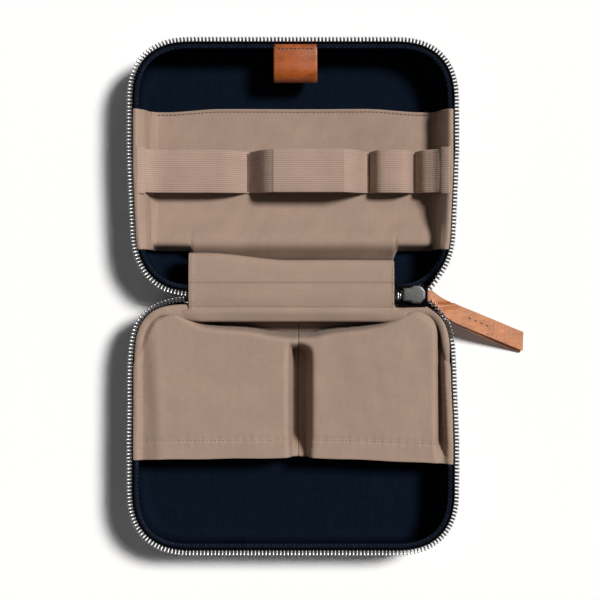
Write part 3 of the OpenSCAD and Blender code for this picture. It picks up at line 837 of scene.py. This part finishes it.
def spine_cover():
    """Taupe fabric over the spine."""
    line = from_hinge(COVER_PROFILE, 5)
    x = np.linspace(-COVER_HALF - 0.7, COVER_HALF - 1.5, 170)
    y, z = [per_row(line[:, k], (len(line), len(x))) for k in (0, 1)]
    xx = np.broadcast_to(x, y.shape)
    hem = 0.35 * np.exp(-((np.abs(xx) - COVER_HALF + 1.5) / 1.1) ** 2) * (y > HINGE_Y - 8)
    z = z + 0.22 * ripple(xx * 0.5, y * 1.4, 26, 21) + hem
    # its lid end runs further into the tray towards the left
    further = 4.6 * smooth((-xx - 2) / 52) * smooth((y - HINGE_Y - 9) / 10) * smooth((z - 9) / 10)
    y = y + 0.25 * ripple(xx, y, 60, 22) + further
    # the fold above the pockets runs on into the border at both ends
    fold = smooth((HINGE_Y - 8.2 - y) / 1.4)
    tip = fold * np.clip((np.abs(xx) - COVER_HALF + 7) / 6, 0, 1)
    y = y + 1.6 * tip * smooth((HINGE_Y - 9 - y) / 4)
    z = z - 1.7 * tip ** 2
    xx = xx + np.sign(xx) * 9 * tip
    # and sags a little towards the middle
    z = z - 1.1 * (1 - (xx / COVER_HALF) ** 2) * smooth((HINGE_Y - 9 - y) / 5)
    piece = sheet_grid("spine_cover_cloth", np.stack([xx, y, z], 2), TAUPE, "", 1.1)
    blend_over_hinge(piece)
    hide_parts("base_spine_cover", "lid_spine_cover")
    for sign, word in ((-1, "left"), (1, "right")):
        for body, y0, y1 in (("base", HINGE_Y - 6, HINGE_Y - 1), ("lid", HINGE_Y + 1, HINGE_Y + 20)):
            yy = np.arange(y0, y1, 0.5)
            zz = np.interp(yy, line[20:, 0], line[20:, 1]) + 0.75
            seam = np.column_stack([np.full(len(yy), sign * (COVER_HALF - 2.6)), yy, zz])
            row = stitches(f"cover_stitches_{word}_{body}", seam, 2.4, 1.6, THREAD_TAUPE, "", 0.17, 0.1)
            finish_piece(row, body, "thread")


# Half of the fold, up one tray's wall to the hinge
FOLD_PROFILE = [(-2.2, 9.3), (-1.75, 14), (-1.8, 22), (-2.6, 27), (-2.0, 29.2)]


def spine_fold():
    """The shell's outer fabric where it goes up one tray's wall, over the hinge and down the other's."""
    across = from_hinge([*FOLD_PROFILE, (0, 30.3), *[(-dy, z) for dy, z in FOLD_PROFILE[::-1]]], 4)
    x = np.linspace(-58, 58, 90)
    xx = np.broadcast_to(x, (len(across), len(x)))
    y = across[:, 0][:, None] + 0.12 * ripple(xx, across[:, 1][:, None] * 2, 30, 31)
    z = np.broadcast_to(across[:, 1][:, None], xx.shape)
    piece = sheet_grid("spine_fold_cloth", np.stack([xx, y, z], 2), SHELL, "", 0.7)
    blend_over_hinge(piece)
    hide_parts("base_spine_panel", "lid_spine_panel")


# ---- Base pockets -----------------------------------------------------------------------

MOUTH_Y = mm_box("base_pocket_left")[0][1]
SEAM_X = mm_box("base_pocket_seam_tape")[0][0] + 0.55
POCKET_TOP = mm_box("base_pocket_left")[1][2]
HEM = 12.0


def inside_curve(x, y, curve):
    """Signed distance of points inside a closed curve."""
    curve = np.asarray(curve, float)
    a, b = curve, np.roll(curve, -1, 0)
    p = np.stack([np.ravel(x), np.ravel(y)], 1)
    best = np.full(len(p), 1e9)
    wind = np.zeros(len(p), bool)
    for (ax, ay), (bx, by) in zip(a, b):
        d = np.array([bx - ax, by - ay])
        t = np.clip(((p - (ax, ay)) @ d) / (d @ d), 0, 1)
        best = np.minimum(best, np.hypot(*(p - (ax, ay) - t[:, None] * d).T))
        cross = (ay > p[:, 1]) != (by > p[:, 1])
        with np.errstate(divide="ignore", invalid="ignore"):
            wind ^= cross & (p[:, 0] < (bx - ax) * (p[:, 1] - ay) / (by - ay) + ax)
    return np.where(wind, best, -best).reshape(np.shape(x))


def mouth_rise(y, amount):
    """How much higher the grooves between the pockets end at the pocket mouth."""
    return amount * (1 - smooth((y - MOUTH_Y - 1) / 15))


def pocket_height(x, y, curve, low, top, round_in, round_out):
    """Plateau inside the curve, falling away in a rounded edge round it."""
    d = inside_curve(x, y, curve)
    t = np.clip((d + round_out) / (round_in + round_out), 0, 1)
    return low + (top - low) * (1 - (1 - t) ** 6)


def pocket_detail(x, y, seed):
    """The hem with its stitched line and puckers, and the cloth's soft waves."""
    hem = smooth((MOUTH_Y + HEM + 0.8 - y) / 1.2) * 0.55
    line = -0.55 * np.exp(-((y - MOUTH_Y - HEM) / 0.8) ** 2)
    pucker = 0.12 * np.sin(x * 1.25) * np.exp(-((y - MOUTH_Y - HEM) / 3.2) ** 2)
    return hem + line + pucker + waves(x, y, seed, (0.55, 58), (0.2, 22), (0.07, 7))


def seam_curve(points):
    """A smooth curve through points whose X is measured from the seam between the pockets."""
    return smooth_profile([(SEAM_X + dx, y) for dx, y in points], 5)


LEFT_CURVE = seam_curve([(-4.8, -60), (-5.0, 0), (-4.8, 44), (-2.4, 48.6), (4, 50.2), (4, 54.8), (-6, 55.2),
                         (-18, 56.8), (-32, 59.6), (-56, 61.6), (-66, 65.5), (-74, 70.5), (-84, 75),
                         (-103, 73), (-112, 40), (-114, -60)])
RIGHT_CURVE = seam_curve([(7.6, -60), (7.6, 20), (7.4, 43), (5.4, 47.8), (0.6, 49.6), (-4, 50.2), (-4, 54.8),
                          (8, 55.4), (20, 58.0), (42, 60.8), (58, 64.6), (68, 69.4), (75, 70.6), (81, 67),
                          (84.6, 60), (85.6, 48), (86, 20), (86, -60)])


def left_pocket_z(x, y):
    z = pocket_height(x, y, LEFT_CURVE, 9.0 + mouth_rise(y, 12.0), POCKET_TOP - 0.6, 6.5, 1.4)
    edge = SEAM_X - 84
    slope = 3.0 * smooth((edge - x) / 13) * smooth((62 - y) / 24)
    z = z - slope + 0.7 * np.exp(-((x + 83 + 0.05 * y) / 4) ** 2) * smooth((y + 30) / 60)
    return z + pocket_detail(x, y, 41)


def right_pocket_z(x, y):
    low = 9.0 + 11.0 * smooth((x - 52) / 14) + mouth_rise(y, 12.0 - 4.0 * smooth((x - 52) / 14))
    z = pocket_height(x, y, RIGHT_CURVE, low, POCKET_TOP - 0.4, 6.5, 1.5)
    return z + pocket_detail(x, y, 51)


def mouth_shift(x):
    """How far the mouth edge lies from its CAD line: nearest the spine at the seam."""
    t = (x - SEAM_X) / 90
    return 2.1 - np.where(t < 0, -1.3 * t, 3.8 * np.abs(t) ** 1.3) + 0.15 * np.sin(x * 0.16 + 1)


# Height of the pockets where they pass over the binding of the straight sides
SIDE_TOP = 30.7


def pocket(word, height, x0, x1, y1):
    """One base pocket with its hem and stitches."""
    xs = np.linspace(x0, x1, round((x1 - x0) / 1.15) + 1)
    ys = np.arange(MOUTH_Y, y1, 1.15)
    x, y = np.meshgrid(xs, ys)
    z = height(x, y)
    # inside the tray's lining at the corners, and drawn up to the rim along the straight sides
    inside = inside_curve(x, y, OUTLINE[::4]) > 0
    near = np.where(inside, inset_of(x, y), 0)
    straight = 1 - smooth((y - 36) / 16)
    corner = np.where(near < 9.5, np.maximum(np.minimum(z, 24 + 0.55 * near), 9), z)
    hem_fall = 1.1 * np.clip((4.4 - near) / 1.2, 0, 1) ** 2
    rim = SIDE_TOP - hem_fall - (SIDE_TOP - 9) * smooth((near - 7.0) / 3.4)
    drawn = np.where(near < 11, np.maximum(np.minimum(z, SIDE_TOP - hem_fall), rim), z)
    z = corner + (drawn - corner) * straight
    keep_x = half_width(y, 4.6 - 1.3 * straight)
    x = np.clip(x, -keep_x, keep_x)
    y = y + mouth_shift(x) * (1 - smooth((y - MOUTH_Y) / 40))
    piece = sheet_grid("base_pocket_cloth_" + word, np.stack([x, y, z], 2), TAUPE, "base", 0.9)
    finish_piece(piece, "base", "pocket_fabric", "base_pocket_" + word)
    sx = np.arange(x0 + 3, x1 - 3, 0.6)
    sy = np.full(len(sx), MOUTH_Y + HEM - 0.15)
    top = height(sx, sy)
    top = np.where(np.abs(sx) > half_width(sy, 9), np.minimum(top, SIDE_TOP), top)
    line = np.column_stack([sx, sy + mouth_shift(sx) * (1 - smooth(HEM / 40)), top + 0.75])
    ok = line[:, 2] > POCKET_TOP - 6
    row = stitches("pocket_hem_stitches_" + word, line[ok], 2.5, 1.5, THREAD_TAUPE, "base", 0.18, 0.12)
    finish_piece(row, "base", "thread")


BORDER_STEP = 1.3
BORDER_STEPS = 94


def pocket_border():
    """Padded taupe edge that runs from the spine cover round each corner and down to the pocket mouth."""
    for sign, word in ((1, "right"), (-1, "left")):
        along = BORDER_STEP * np.arange(1, BORDER_STEPS)
        at = AT_COVER - 6 + along if sign > 0 else OUTLINE_LEN - AT_COVER + 6 - along
        blend = 1 - smooth((along - 6) / 26)
        outer = 2.9 + 1.6 * blend
        inner = 8.0 + 6.2 * blend - 1.4 * smooth((along - 54) / 14)
        keep = rim_line(at, 4.0, 20)[:, 1] > MOUTH_Y - 0.5
        at, outer, inner, along, blend = at[keep], outer[keep], inner[keep], along[keep], blend[keep]
        a = np.linspace(0, 2 * math.pi, 16, endpoint=False)
        mid, half = (outer + inner) / 2, (inner - outer) / 2
        rings = []
        for t in a:
            lift = 1.7 if math.sin(t) > 0 else 3.74
            z = 29.9 - 0.7 * blend - 1.5 * smooth((along - 54) / 14) + lift * math.sin(t) * (1 - 0.15 * blend)
            z = z + 0.25 * ripple(along, np.full(len(along), t), 16, 61)
            rings.append(rim_line(at, mid - half * math.cos(t), z, 0.35))
        rings = np.stack(rings, 1)
        # beside the slider it lies nearer to the hinge
        x = rings[..., 0]
        shift = np.clip((x - 66) / 8, 0, 1) * (1 - np.clip((x - 86) / 10, 0, 1)) * (rings[..., 1] > 40)
        rings[..., 1] += 1.5 * shift
        piece = loft("pocket_border_" + word, rings, TAUPE, "base")
        finish_piece(piece, "base", "pocket_fabric")


def seam_tape():
    """Narrow tape along the pockets' common seam."""
    y = np.arange(MOUTH_Y + 2, HINGE_Y - 20, 1.5)
    profile = [(-1.6, 5.0), (-1.2, 5.7), (0, 5.9), (1.2, 5.7), (1.6, 5.0), (0, 4.6)]
    wavy = SEAM_X + 0.1 * np.sin(y * 0.4)
    rings = [np.column_stack([wavy + px, y, pz + 0.1 * np.sin(y)]) for px, pz in profile]
    piece = loft("pocket_seam_binding", np.stack(rings, 1), TAUPE)
    finish_piece(piece, "base", "pocket_fabric", "base_pocket_seam_tape")


# ---- Lid pocket and elastic -------------------------------------------------------------

PANEL_Y0, PANEL_Y1 = mm_box("lid_pocket_panel")[0][1], mm_box("lid_pocket_panel")[1][1]
BAND_Y0, BAND_Y1 = mm_box("elastic_band")[0][1], mm_box("elastic_band")[1][1]
SIDE_X = 86.0
FOOT_Y = PANEL_Y0 - 5.6


def panel_z(x, y):
    """Height of the slip pocket: flat, with its foot rolled up and its sides drawn up to the rim."""
    foot = 9.5 * np.exp(-(np.maximum(y - PANEL_Y0 - 6, 0) / 12) ** 2)
    fall = np.maximum(PANEL_Y0 + 7 - y, 0)
    turn = np.minimum(fall / 7, 1)
    foot = foot - 1.55 * (7 * (turn ** 3 - turn ** 4 / 2) + np.maximum(fall - 7, 0))
    base = 10.2 + foot + 0.8 * smooth((y - 130) / 30)
    rise = np.clip((np.abs(x) - SIDE_X) / 11.0, 0, 1)
    side = (31.2 - base) * (0.35 * rise + 0.65 * smooth(rise))
    return base + side + waves(x, y, 71, (0.7, 60), (0.25, 20), (0.06, 7)) * (1 - 0.6 * rise)


# Depth of the hem along the slip pocket's top edge
LID_HEM = 2.2


def panel_edge(x):
    """How much higher the slip pocket's top edge runs than its CAD line."""
    return 2.0 * (1 - smooth((np.abs(x) - 46) / 34))


def slip_pocket():
    """The slip pocket, its stitches and its two side gussets."""
    ys = np.arange(FOOT_Y, PANEL_Y1 + 0.01, 1.3)
    xs = np.arange(-SIDE_X - 3, SIDE_X + 3.01, 1.3)
    x, y = np.meshgrid(xs, ys)
    # the foot tucks in above the rim's binding on both sides of the spine cover
    tucked = smooth((np.abs(x) - COVER_HALF + 1.0) / 2.0)
    foot = FOOT_Y + (PANEL_Y0 + 0.6 - FOOT_Y) * tucked
    y = foot + (y - FOOT_Y) * (PANEL_Y1 - foot) / (PANEL_Y1 - FOOT_Y)
    z = panel_z(x, y) - 7.0 * tucked * smooth((PANEL_Y0 + 4.6 - y) / 4)
    past_hem = y - PANEL_Y1 + LID_HEM
    z += 0.5 * smooth(past_hem / 0.8) - 0.4 * np.exp(-((past_hem - 0.2) / 0.7) ** 2)
    y = y + panel_edge(x) * smooth((y - PANEL_Y1 + 30) / 30)
    # narrower where the tray's corners are round
    x = x * np.minimum(1, half_width(2 * HINGE_Y - y, 6.5) / (SIDE_X + 3))
    piece = sheet_grid("lid_pocket_cloth", np.stack([x, y, z], 2), TAUPE, "", 0.9)
    finish_piece(piece, "lid", "pocket_fabric", "lid_pocket_panel")
    sx = np.arange(-SIDE_X, SIDE_X, 0.6)
    sy = np.full(len(sx), PANEL_Y1 - LID_HEM + 0.3)
    line = np.column_stack([sx, sy + panel_edge(sx), panel_z(sx, sy) + 0.75])
    row = stitches("lid_pocket_stitches", line, 2.5, 1.6, THREAD_DARK, "", 0.22, 0.06)
    finish_piece(row, "lid", "thread")
    for sign, word in ((-1, "left"), (1, "right")):
        xs = np.arange(SIDE_X + 1.6, 99.4, 0.6)
        x, y = np.meshgrid(xs, ys[ys > PANEL_Y0 + 0.2])
        limit = half_width(2 * HINGE_Y - y, 3.3)
        z = panel_z(x, y) + 0.25
        # one pleat along the foot of the side, and the hem over the binding
        z += 1.2 * np.exp(-((x - 92.6) / 1.5) ** 2) - 1.6 * np.exp(-((x - 90.0) / 1.1) ** 2)
        z = z + 0.35 * smooth((x - 91.5) / 2)
        z = np.where(x > 97.2, z - 0.28 * (x - 97.2) ** 2, z)
        x = x - np.maximum(98.7 - limit, 0) * smooth((x - SIDE_X) / 10)
        piece = sheet_grid("lid_pocket_side_" + word, np.stack([sign * x, y, z], 2), TAUPE, "", 0.8)
        finish_piece(piece, "lid", "pocket_fabric", "lid_pocket_gusset_" + word)


# Where the band is sewn down, and its height along X: four loops, held down between them
BAND_SEAMS = [-28.0, 47.5, 76.0]
BAND_LINE = [(-96.0, 31.7), (-93.5, 30.2), (-90.5, 27.4), (-86, 24.6), (-78, 23.2), (-60, 22.9), (-45, 22.2),
             (-37, 19.5), (-31.5, 14.6), (-29.2, 12.6), (-28, 12.2), (-26.6, 12.8), (-23.5, 17),
             (-17.5, 25.5), (-12.5, 29.2), (-9.5, 29.9), (10, 30.1), (29, 29.9), (32.5, 29.2),
             (38, 24), (44, 15.5),
             (46.4, 12.7), (47.5, 12.2), (48.6, 12.8), (51, 18), (54.5, 22.2), (61.5, 23.2), (69, 22.2),
             (72.6, 18), (74.9, 12.8), (76, 12.3), (77.1, 12.8), (79.4, 17.5), (82, 21.0), (85, 23.0),
             (88, 24.9), (90.5, 27.4), (93.5, 30.2), (96.0, 31.7)]
# An end tab's section: out to the rim, then folded under
TAB_SECTION = [(91.6, 28.8), (92.0, 29.6), (93.2, 30.6), (94.6, 31.5), (96, 32.05), (96.9, 32.1),
               (97.2, 31.6), (96.8, 31.0), (96.0, 30.4)]


def elastic():
    """The elastic band, its bartacks and its end tabs."""
    line = smooth_profile(BAND_LINE, 6)
    ys = np.linspace(BAND_Y0, BAND_Y1, 22)
    x, z = [per_row(line[:, k], (len(line), len(ys))) for k in (0, 1)]
    y = np.broadcast_to(ys, x.shape)
    middle = (BAND_Y0 + BAND_Y1) / 2
    across = (y - middle) / ((BAND_Y1 - BAND_Y0) / 2)
    lift = smooth((z - 12) / 12)
    z = z - 0.7 * lift * across ** 4 + 0.18 * ripple(x, y, 24, 81)
    # the band is drawn in a little where it is sewn down
    y = middle + (y - middle) * (1 - 0.035 * (1 - lift))
    piece = sheet_grid("elastic_band_cloth", np.stack([x, y, z], 2), ELASTIC, "", 1.3)
    finish_piece(piece, "lid", "elastic", "elastic_band")
    parts = []
    for sx in BAND_SEAMS:
        for off in (-0.55, 0.55):
            yy = np.arange(BAND_Y0 + 1.5, BAND_Y1 - 1.5, 0.5)
            zz = 13.15 + 0.28 * np.abs(np.sin(yy * 2.2))
            parts.append(tube_part(np.column_stack([sx + off + 0.28 * np.sin(yy * 4.4), yy, zz]), 0.3))
    row = join_meshes("elastic_bartack_threads", parts, THREAD_TAUPE)
    finish_piece(row, "lid", "pocket_fabric", "elastic_bartacks")
    for sign, word in ((-1, "left"), (1, "right")):
        yy = np.linspace(BAND_Y0 - 0.9, BAND_Y1 + 0.9, 26)
        x, z = [per_row(np.array(values), (len(values), len(yy))) for values in zip(*TAB_SECTION)]
        z = z + 0.12 * ripple(x, yy[None, :], 12, 91)
        y = np.broadcast_to(yy, x.shape)
        piece = sheet_grid("elastic_tab_" + word, np.stack([sign * x, y, z], 2), ELASTIC, "", 0.9)
        finish_piece(piece, "lid", "elastic", "elastic_end_tab_" + word)


# ---- Pen loop ---------------------------------------------------------------------------

# The loop's outer side and its backing strip, measured from the loop's far side and its top
LOOP_SIDE = [(1.2, 0.5), (-3, 0.7), (-8, 0.4), (-13, 0.1), (-16.6, -1.6), (-18.3, -5), (-17.8, -9),
             (-15, -12.2), (-10, -13.2), (-4, -13.0), (-0.5, -12.6)]
STRIP_SECTION = [(3.0, -0.6), (3.1, 0.8), (2.6, 1.6), (1.0, 2.0), (-0.9, 1.9), (-1.4, 1.3), (-1.2, 0.3)]
LOOP_LEATHER_THICKNESS = 1.5


def pen_loop():
    """The leather pen loop, its backing strip and its stitches."""
    low, high = mm_box("pen_loop")
    x0, x1, wall, top = low[0], high[0], high[1], high[2]
    upper = smooth_profile([(wall + dy, top + dz) for dy, dz in LOOP_SIDE], 5)
    t = np.gradient(upper, axis=0)
    t /= np.linalg.norm(t, axis=1, keepdims=True)
    inner = upper - np.stack([-t[:, 1], t[:, 0]], 1) * LOOP_LEATHER_THICKNESS
    middle = (upper + inner) / 2
    ends = np.array([0, 0.25, 0.7])
    xs = np.concatenate([x0 + ends, np.linspace(x0 + 1.5, x1 - 1.5, 30), x1 - ends[::-1]])
    edge = np.minimum(np.minimum(xs - x0, x1 - xs) / 0.7, 1)
    thick = 0.35 + 0.65 * np.sqrt(1 - (1 - edge) ** 2)
    rings = []
    for x, k in zip(xs, thick):
        loop = np.vstack([middle + (upper - middle) * k, (middle + (inner - middle) * k)[::-1]])
        here = np.full(len(loop), x)
        crown = 0.25 * math.sin((x - x0) / (x1 - x0) * math.pi)
        z = loop[:, 1] + 0.16 * ripple(here, loop[:, 0], 14, 95) + crown
        rings.append(np.column_stack([here, loop[:, 0], z]))
    piece = loft("pen_loop_leather", np.array(rings), LOOP_LEATHER)
    finish_piece(piece, "lid", "leather", "pen_loop")
    x = np.linspace(x0 + 0.6, x1 - 0.6, 20)
    wavy = top + 0.08 * np.sin(x)
    rings = [np.column_stack([x, np.full(len(x), wall + dy), wavy + dz]) for dy, dz in STRIP_SECTION]
    piece = loft("pen_loop_strip", np.stack(rings, 1), LOOP_LEATHER)
    finish_piece(piece, "lid", "leather", "pen_loop_backing")
    sx = np.arange(x0 + 1.6, x1 - 1.6, 0.5)
    seam = np.column_stack([sx, np.full(len(sx), wall + 0.1), top + 2.2 + 0.08 * np.sin(sx)])
    row = stitches("pen_loop_stitches", seam, 2.5, 2.0, THREAD_DARK, "", 0.4, 0.0)
    finish_piece(row, "lid", "thread")


# ---- Slider, ring and strap -------------------------------------------------------------

# Half a slider plate's outline, as shares of its length and width, and its edge at each height
PLATE_HALF = [(0, 0.36), (0.24, 0.37), (0.34, 0.41), (0.44, 0.485), (0.52, 0.5), (0.74, 0.5), (0.83, 0.45),
              (0.93, 0.31), (1.0, 0.2)]
PLATE_LEVELS = [(1.45, -0.1), (1.5, 0.0), (2.1, 0.12), (2.45, -0.15), (2.62, -0.75), (2.68, -1.6)]
FLANGE_SECTION = [(0, -1.6), (0.75, -1.6), (0.8, 0), (0.75, 1.6), (0, 1.6)]
POST_SIDES = 14
BRIDGE_SECTION = [(-0.45, -0.9), (-0.25, -1.15), (0.25, -1.15), (0.45, -0.9), (0.45, 0.9), (0.25, 1.15),
                  (-0.25, 1.15), (-0.45, 0.9)]


def plate_plan(length, width, grow):
    """A plate's outline, grown or shrunk from its middle."""
    p = np.array([(u * length, v * width) for u, v in PLATE_HALF])
    plan = np.vstack([p, p[::-1] * np.array([1, -1])])
    centre = np.array([length / 2, 0])
    way = plan - centre
    return plan + way / np.linalg.norm(way, axis=1, keepdims=True) * grow


# The slider lies a little to the lid's side of the hinge line
SLIDER_LIE = np.array([-0.3, 1.0, 0.0])


def slider():
    """Two plates with their flanges and post, and the crown under the lower plate."""
    low, high = mm_box("slider_body")
    length, width = high[0] - low[0], high[1] - low[1]
    parts = []

    def add_part(rings):
        rings = np.array(rings)
        parts.append((rings.reshape(-1, 3) + SLIDER_LIE, tube_faces(*rings.shape[:2])))

    for sign in (1, -1):
        rings = []
        for z, grow in PLATE_LEVELS:
            plan = plate_plan(length, width, grow) + [low[0], HINGE_Y]
            rings.append(np.column_stack([plan, np.full(len(plan), RIM_Z + sign * z)]))
        add_part(rings)
    x = np.linspace(low[0] + 0.3, low[0] + length * 0.44, 10)
    for sign in (1, -1):
        y = HINGE_Y + sign * (width * 0.37 - 0.75)
        add_part(np.stack([np.column_stack([x, np.full(len(x), y + sign * dy), np.full(len(x), RIM_Z + dz)])
                           for dy, dz in FLANGE_SECTION], 1))
    a = np.linspace(0, 2 * math.pi, POST_SIDES, endpoint=False)
    post_x = low[0] + length * 0.82 + 1.5 * np.cos(a)
    add_part([np.column_stack([post_x, HINGE_Y + 1.05 * np.sin(a), np.full(POST_SIDES, RIM_Z + z)])
              for z in (-1.6, 1.6)])
    piece = join_meshes("slider_plates", parts, SLIDER)
    bevel(piece, 0.12)
    settle(piece)
    finish_piece(piece, "slider", "slider_metal", "slider_body")
    # Crown: a bridge under the lower plate
    low, high = mm_box("slider_crown")
    mid = (low + high) / 2
    leg = [(0.5, high[2] + 0.1), (0.55, mid[2] + 0.6), (1.3, low[2] + 0.75)]
    line = smooth_profile([*[(low[0] + dx, z) for dx, z in leg], (mid[0], low[2] + 0.5),
                           *[(high[0] - dx, z) for dx, z in leg[::-1]]], 5)
    t = np.gradient(line, axis=0)
    t /= np.linalg.norm(t, axis=1, keepdims=True)
    nrm = np.stack([-t[:, 1], t[:, 0]], 1)
    rings = []
    for p, n2 in zip(line, nrm):
        rings.append([(p[0] + n2[0] * u, mid[1] + v, p[1] + n2[1] * u) for u, v in BRIDGE_SECTION])
    piece = loft("slider_bridge", np.array(rings), SLIDER)
    finish_piece(piece, "slider", "slider_metal", "slider_crown")


STRAP_PIVOT = np.array(JOINTS["strap_swing"]["pos_m"]) / MM
RING_PIVOT = np.array(JOINTS["ring_swing"]["pos_m"]) / MM
STRAP_SLOPE = math.radians(21)
STRAP_TURN = math.radians(20.5)


def from_strap(points):
    """From the strap's own plane (u along it, v across, w out of the plane) to the object's frame."""
    points = np.asarray(points, float)
    c, s = math.cos(STRAP_SLOPE), math.sin(STRAP_SLOPE)
    u, v, w = points[..., 0], points[..., 1], points[..., 2]
    return STRAP_PIVOT + np.stack([u * c + w * s, v, -u * s + w * c], -1)


def pull_ring():
    """A wire ring bent to a rounded rectangle, from the crown to the strap."""
    a, b = RING_PIVOT, STRAP_PIVOT
    way = (b - a) / np.linalg.norm(b - a)
    length, half, r = np.linalg.norm(b - a), 4.6, 1.7
    flat = []
    corners = [(length - r, half - r, 0), (r, half - r, 90), (r, r - half, 180), (length - r, r - half, 270)]
    for cx, cy, start in corners:
        for t in np.radians(np.linspace(start, start + 90, 7)):
            flat.append((cx + r * math.cos(t), cy + r * math.sin(t)))
    flat = np.array(flat)
    centre = a + flat[:, :1] * way + flat[:, 1:] * np.array([0, 1, 0])
    tangent = np.roll(centre, -1, 0) - np.roll(centre, 1, 0)
    tangent /= np.linalg.norm(tangent, axis=1, keepdims=True)
    up = np.cross(way, (0, 1, 0))
    side = np.cross(tangent, up)
    t = np.linspace(0, 2 * math.pi, 12, endpoint=False)[None, :, None]
    rings = centre[:, None] + 0.75 * (np.cos(t) * side[:, None] + np.sin(t) * up)
    faces = grid_faces(*rings.shape[:2], closed_rows=True, closed_columns=True)
    piece = new_piece("pull_ring_wire", rings.reshape(-1, 3), faces, SLIDER)
    recalc(piece)
    finish_piece(piece, "pull_ring", "slider_metal", "pull_ring")


NECK_HALF = 3.6
STRAP_LENGTH = 72.5


def pull_strap():
    """Two layers of leather that turn off to one side, the fold round the ring, and four stitches."""
    c, s = math.cos(STRAP_TURN), math.sin(STRAP_TURN)

    def turned(u, v):
        return np.array([u * c + v * s, v * c - u * s])

    def edge(neck, bends):
        """An edge of the strap, evenly spaced, from its neck through points on the turned part."""
        line = smooth_profile([*neck, *[turned(u, v) for u, v in bends]], 12)
        at = lengths(line)
        want = np.linspace(0, at[-1], 60)
        return np.stack([np.interp(want, at, line[:, k]) for k in (0, 1)], 1)

    left = edge([(0, 3.6), (2.4, 3.6)],
                [(8, 2.5), (15, 2.0), (24, 2.05), (45, 2.1), (STRAP_LENGTH - 2.2, 2.05)])
    right = edge([(0, -3.6), (2.4, -3.9)],
                 [(10, -6.1), (20, -8.7), (29, -9.3), (45, -9.3), (STRAP_LENGTH + 1.6, -9.3)])
    across = np.linspace(0, 1, 17)
    for layer, word in ((1, "upper"), (-1, "lower")):
        grid = left[:, None] * (1 - across[None, :, None]) + right[:, None] * across[None, :, None]
        u, v = grid[..., 0], grid[..., 1]
        along = u * c - v * s
        side = u * s + v * c + NECK_HALF
        # crease across the neck, and small folds near the end
        w = np.full(u.shape, 0.72 * layer)
        if layer > 0:
            crease = side - 1.3 - 0.42 * (along - 7.8)
            w -= 1.4 * np.exp(-(crease / 0.7) ** 2) * smooth((along - 6) / 4) * (1 - smooth((along - 16) / 4))
            w += np.exp(-((crease + 1.7) / 1.5) ** 2 - ((along - 15) / 4.5) ** 2)
            fine = np.sin(along * 2.1 + 0.5 * side + 0.8 * np.sin(side))
            w += 0.16 * fine * smooth((along - 42) / 5) * (1 - smooth((along - 61) / 4))
        else:
            w -= 1.3 * smooth((along - 20) / 45)
        w += 0.14 * ripple(along, side, 18, 97 + layer)
        v = v - (1.2 * smooth((along - 8) / 40) if layer < 0 else 0)
        points = from_strap(np.stack([u, v, w], -1))
        faces = grid_faces(*points.shape[:2])
        piece = new_piece("pull_strap_leather_" + word, points.reshape(-1, 3), faces, STRAP_LEATHER)
        solidify(piece, 1.35)
        bevel(piece, 0.3)
        subdivide(piece)
        settle(piece)
        piece.data.shade_smooth()
        finish_piece(piece, "pull_strap", "leather", *(["pull_strap"] if layer > 0 else []))
    # Fold of the leather round the ring
    a = np.radians(np.linspace(88, 272, 15))
    rings = []
    for y in np.linspace(-NECK_HALF, NECK_HALF, 12):
        outer = np.stack([2.2 * np.cos(a), np.full(15, y), 1.42 * np.sin(a)], 1)
        inner = np.stack([0.95 * np.cos(a), np.full(15, y), 0.85 * np.sin(a)], 1)[::-1]
        rings.append(from_strap(np.vstack([outer, inner])))
    piece = loft("pull_strap_fold", np.array(rings), STRAP_LEATHER)
    subdivide(piece)
    settle(piece)
    piece.data.shade_smooth()
    finish_piece(piece, "pull_strap", "leather")
    threads = []
    rise = [(0, -0.2), (0.2, 0.12), (0.5, 0.22), (0.8, 0.12), (1, -0.2)]
    for i in range(4):
        p0, p1 = turned(30.5 + 4.4 * i, -3.0), turned(32.7 + 4.4 * i, -3.2)
        line = np.array([[*(p0 + (p1 - p0) * t), 1.35 + h] for t, h in rise])
        threads.append(tube_part(from_strap(line), 0.33))
    piece = join_meshes("pull_strap_threads", threads, THREAD_DARK)
    finish_piece(piece, "pull_strap", "thread", "strap_stitches")


def squarish(value):
    """Moves a coordinate of the unit circle out towards a square."""
    return math.copysign(abs(value) ** 0.5, value)


# A stop's shape from end to end, as shares of its half sizes: a clamp with a waist
STOP_SHAPE = [(-1.05, 0.6), (-0.9, 0.95), (-0.3, 1.05), (0.0, 0.92), (0.3, 1.05), (0.9, 0.95), (1.05, 0.6)]


def stops():
    """The clamps at both ends of the zip."""
    for name, body, node in (("end_stop_clamp", "zip_end", "zip_end_stop"),
                             ("bottom_stop_clamp", "base", "zip_bottom_stop")):
        low, high = mm_box(node)
        mid, half = (low + high) / 2, (high - low) / 2
        rings = []
        for t in np.linspace(0, 2 * math.pi, 16, endpoint=False):
            kx, kz = squarish(math.cos(t)), squarish(math.sin(t))
            rings.append([mid + half * [g * kx, f, g * kz] for f, g in STOP_SHAPE])
        rings = np.array(rings).transpose(1, 0, 2)
        piece = loft(name, rings, TOOTH)
        finish_piece(piece, body, "tooth_metal", node)


for side in ("base", "lid"):
    pad(side)
    lining(side)
    binding(side)
    chain(side)
joined_teeth()
end_tape()
spine_cover()
spine_fold()
pocket("left", left_pocket_z, -99.6, SEAM_X + 0.3, 73.0)
pocket("right", right_pocket_z, SEAM_X + 0.3, 99.6, 72.0)
pocket_border()
seam_tape()
slip_pocket()
elastic()
pen_loop()
slider()
pull_ring()
pull_strap()
stops()
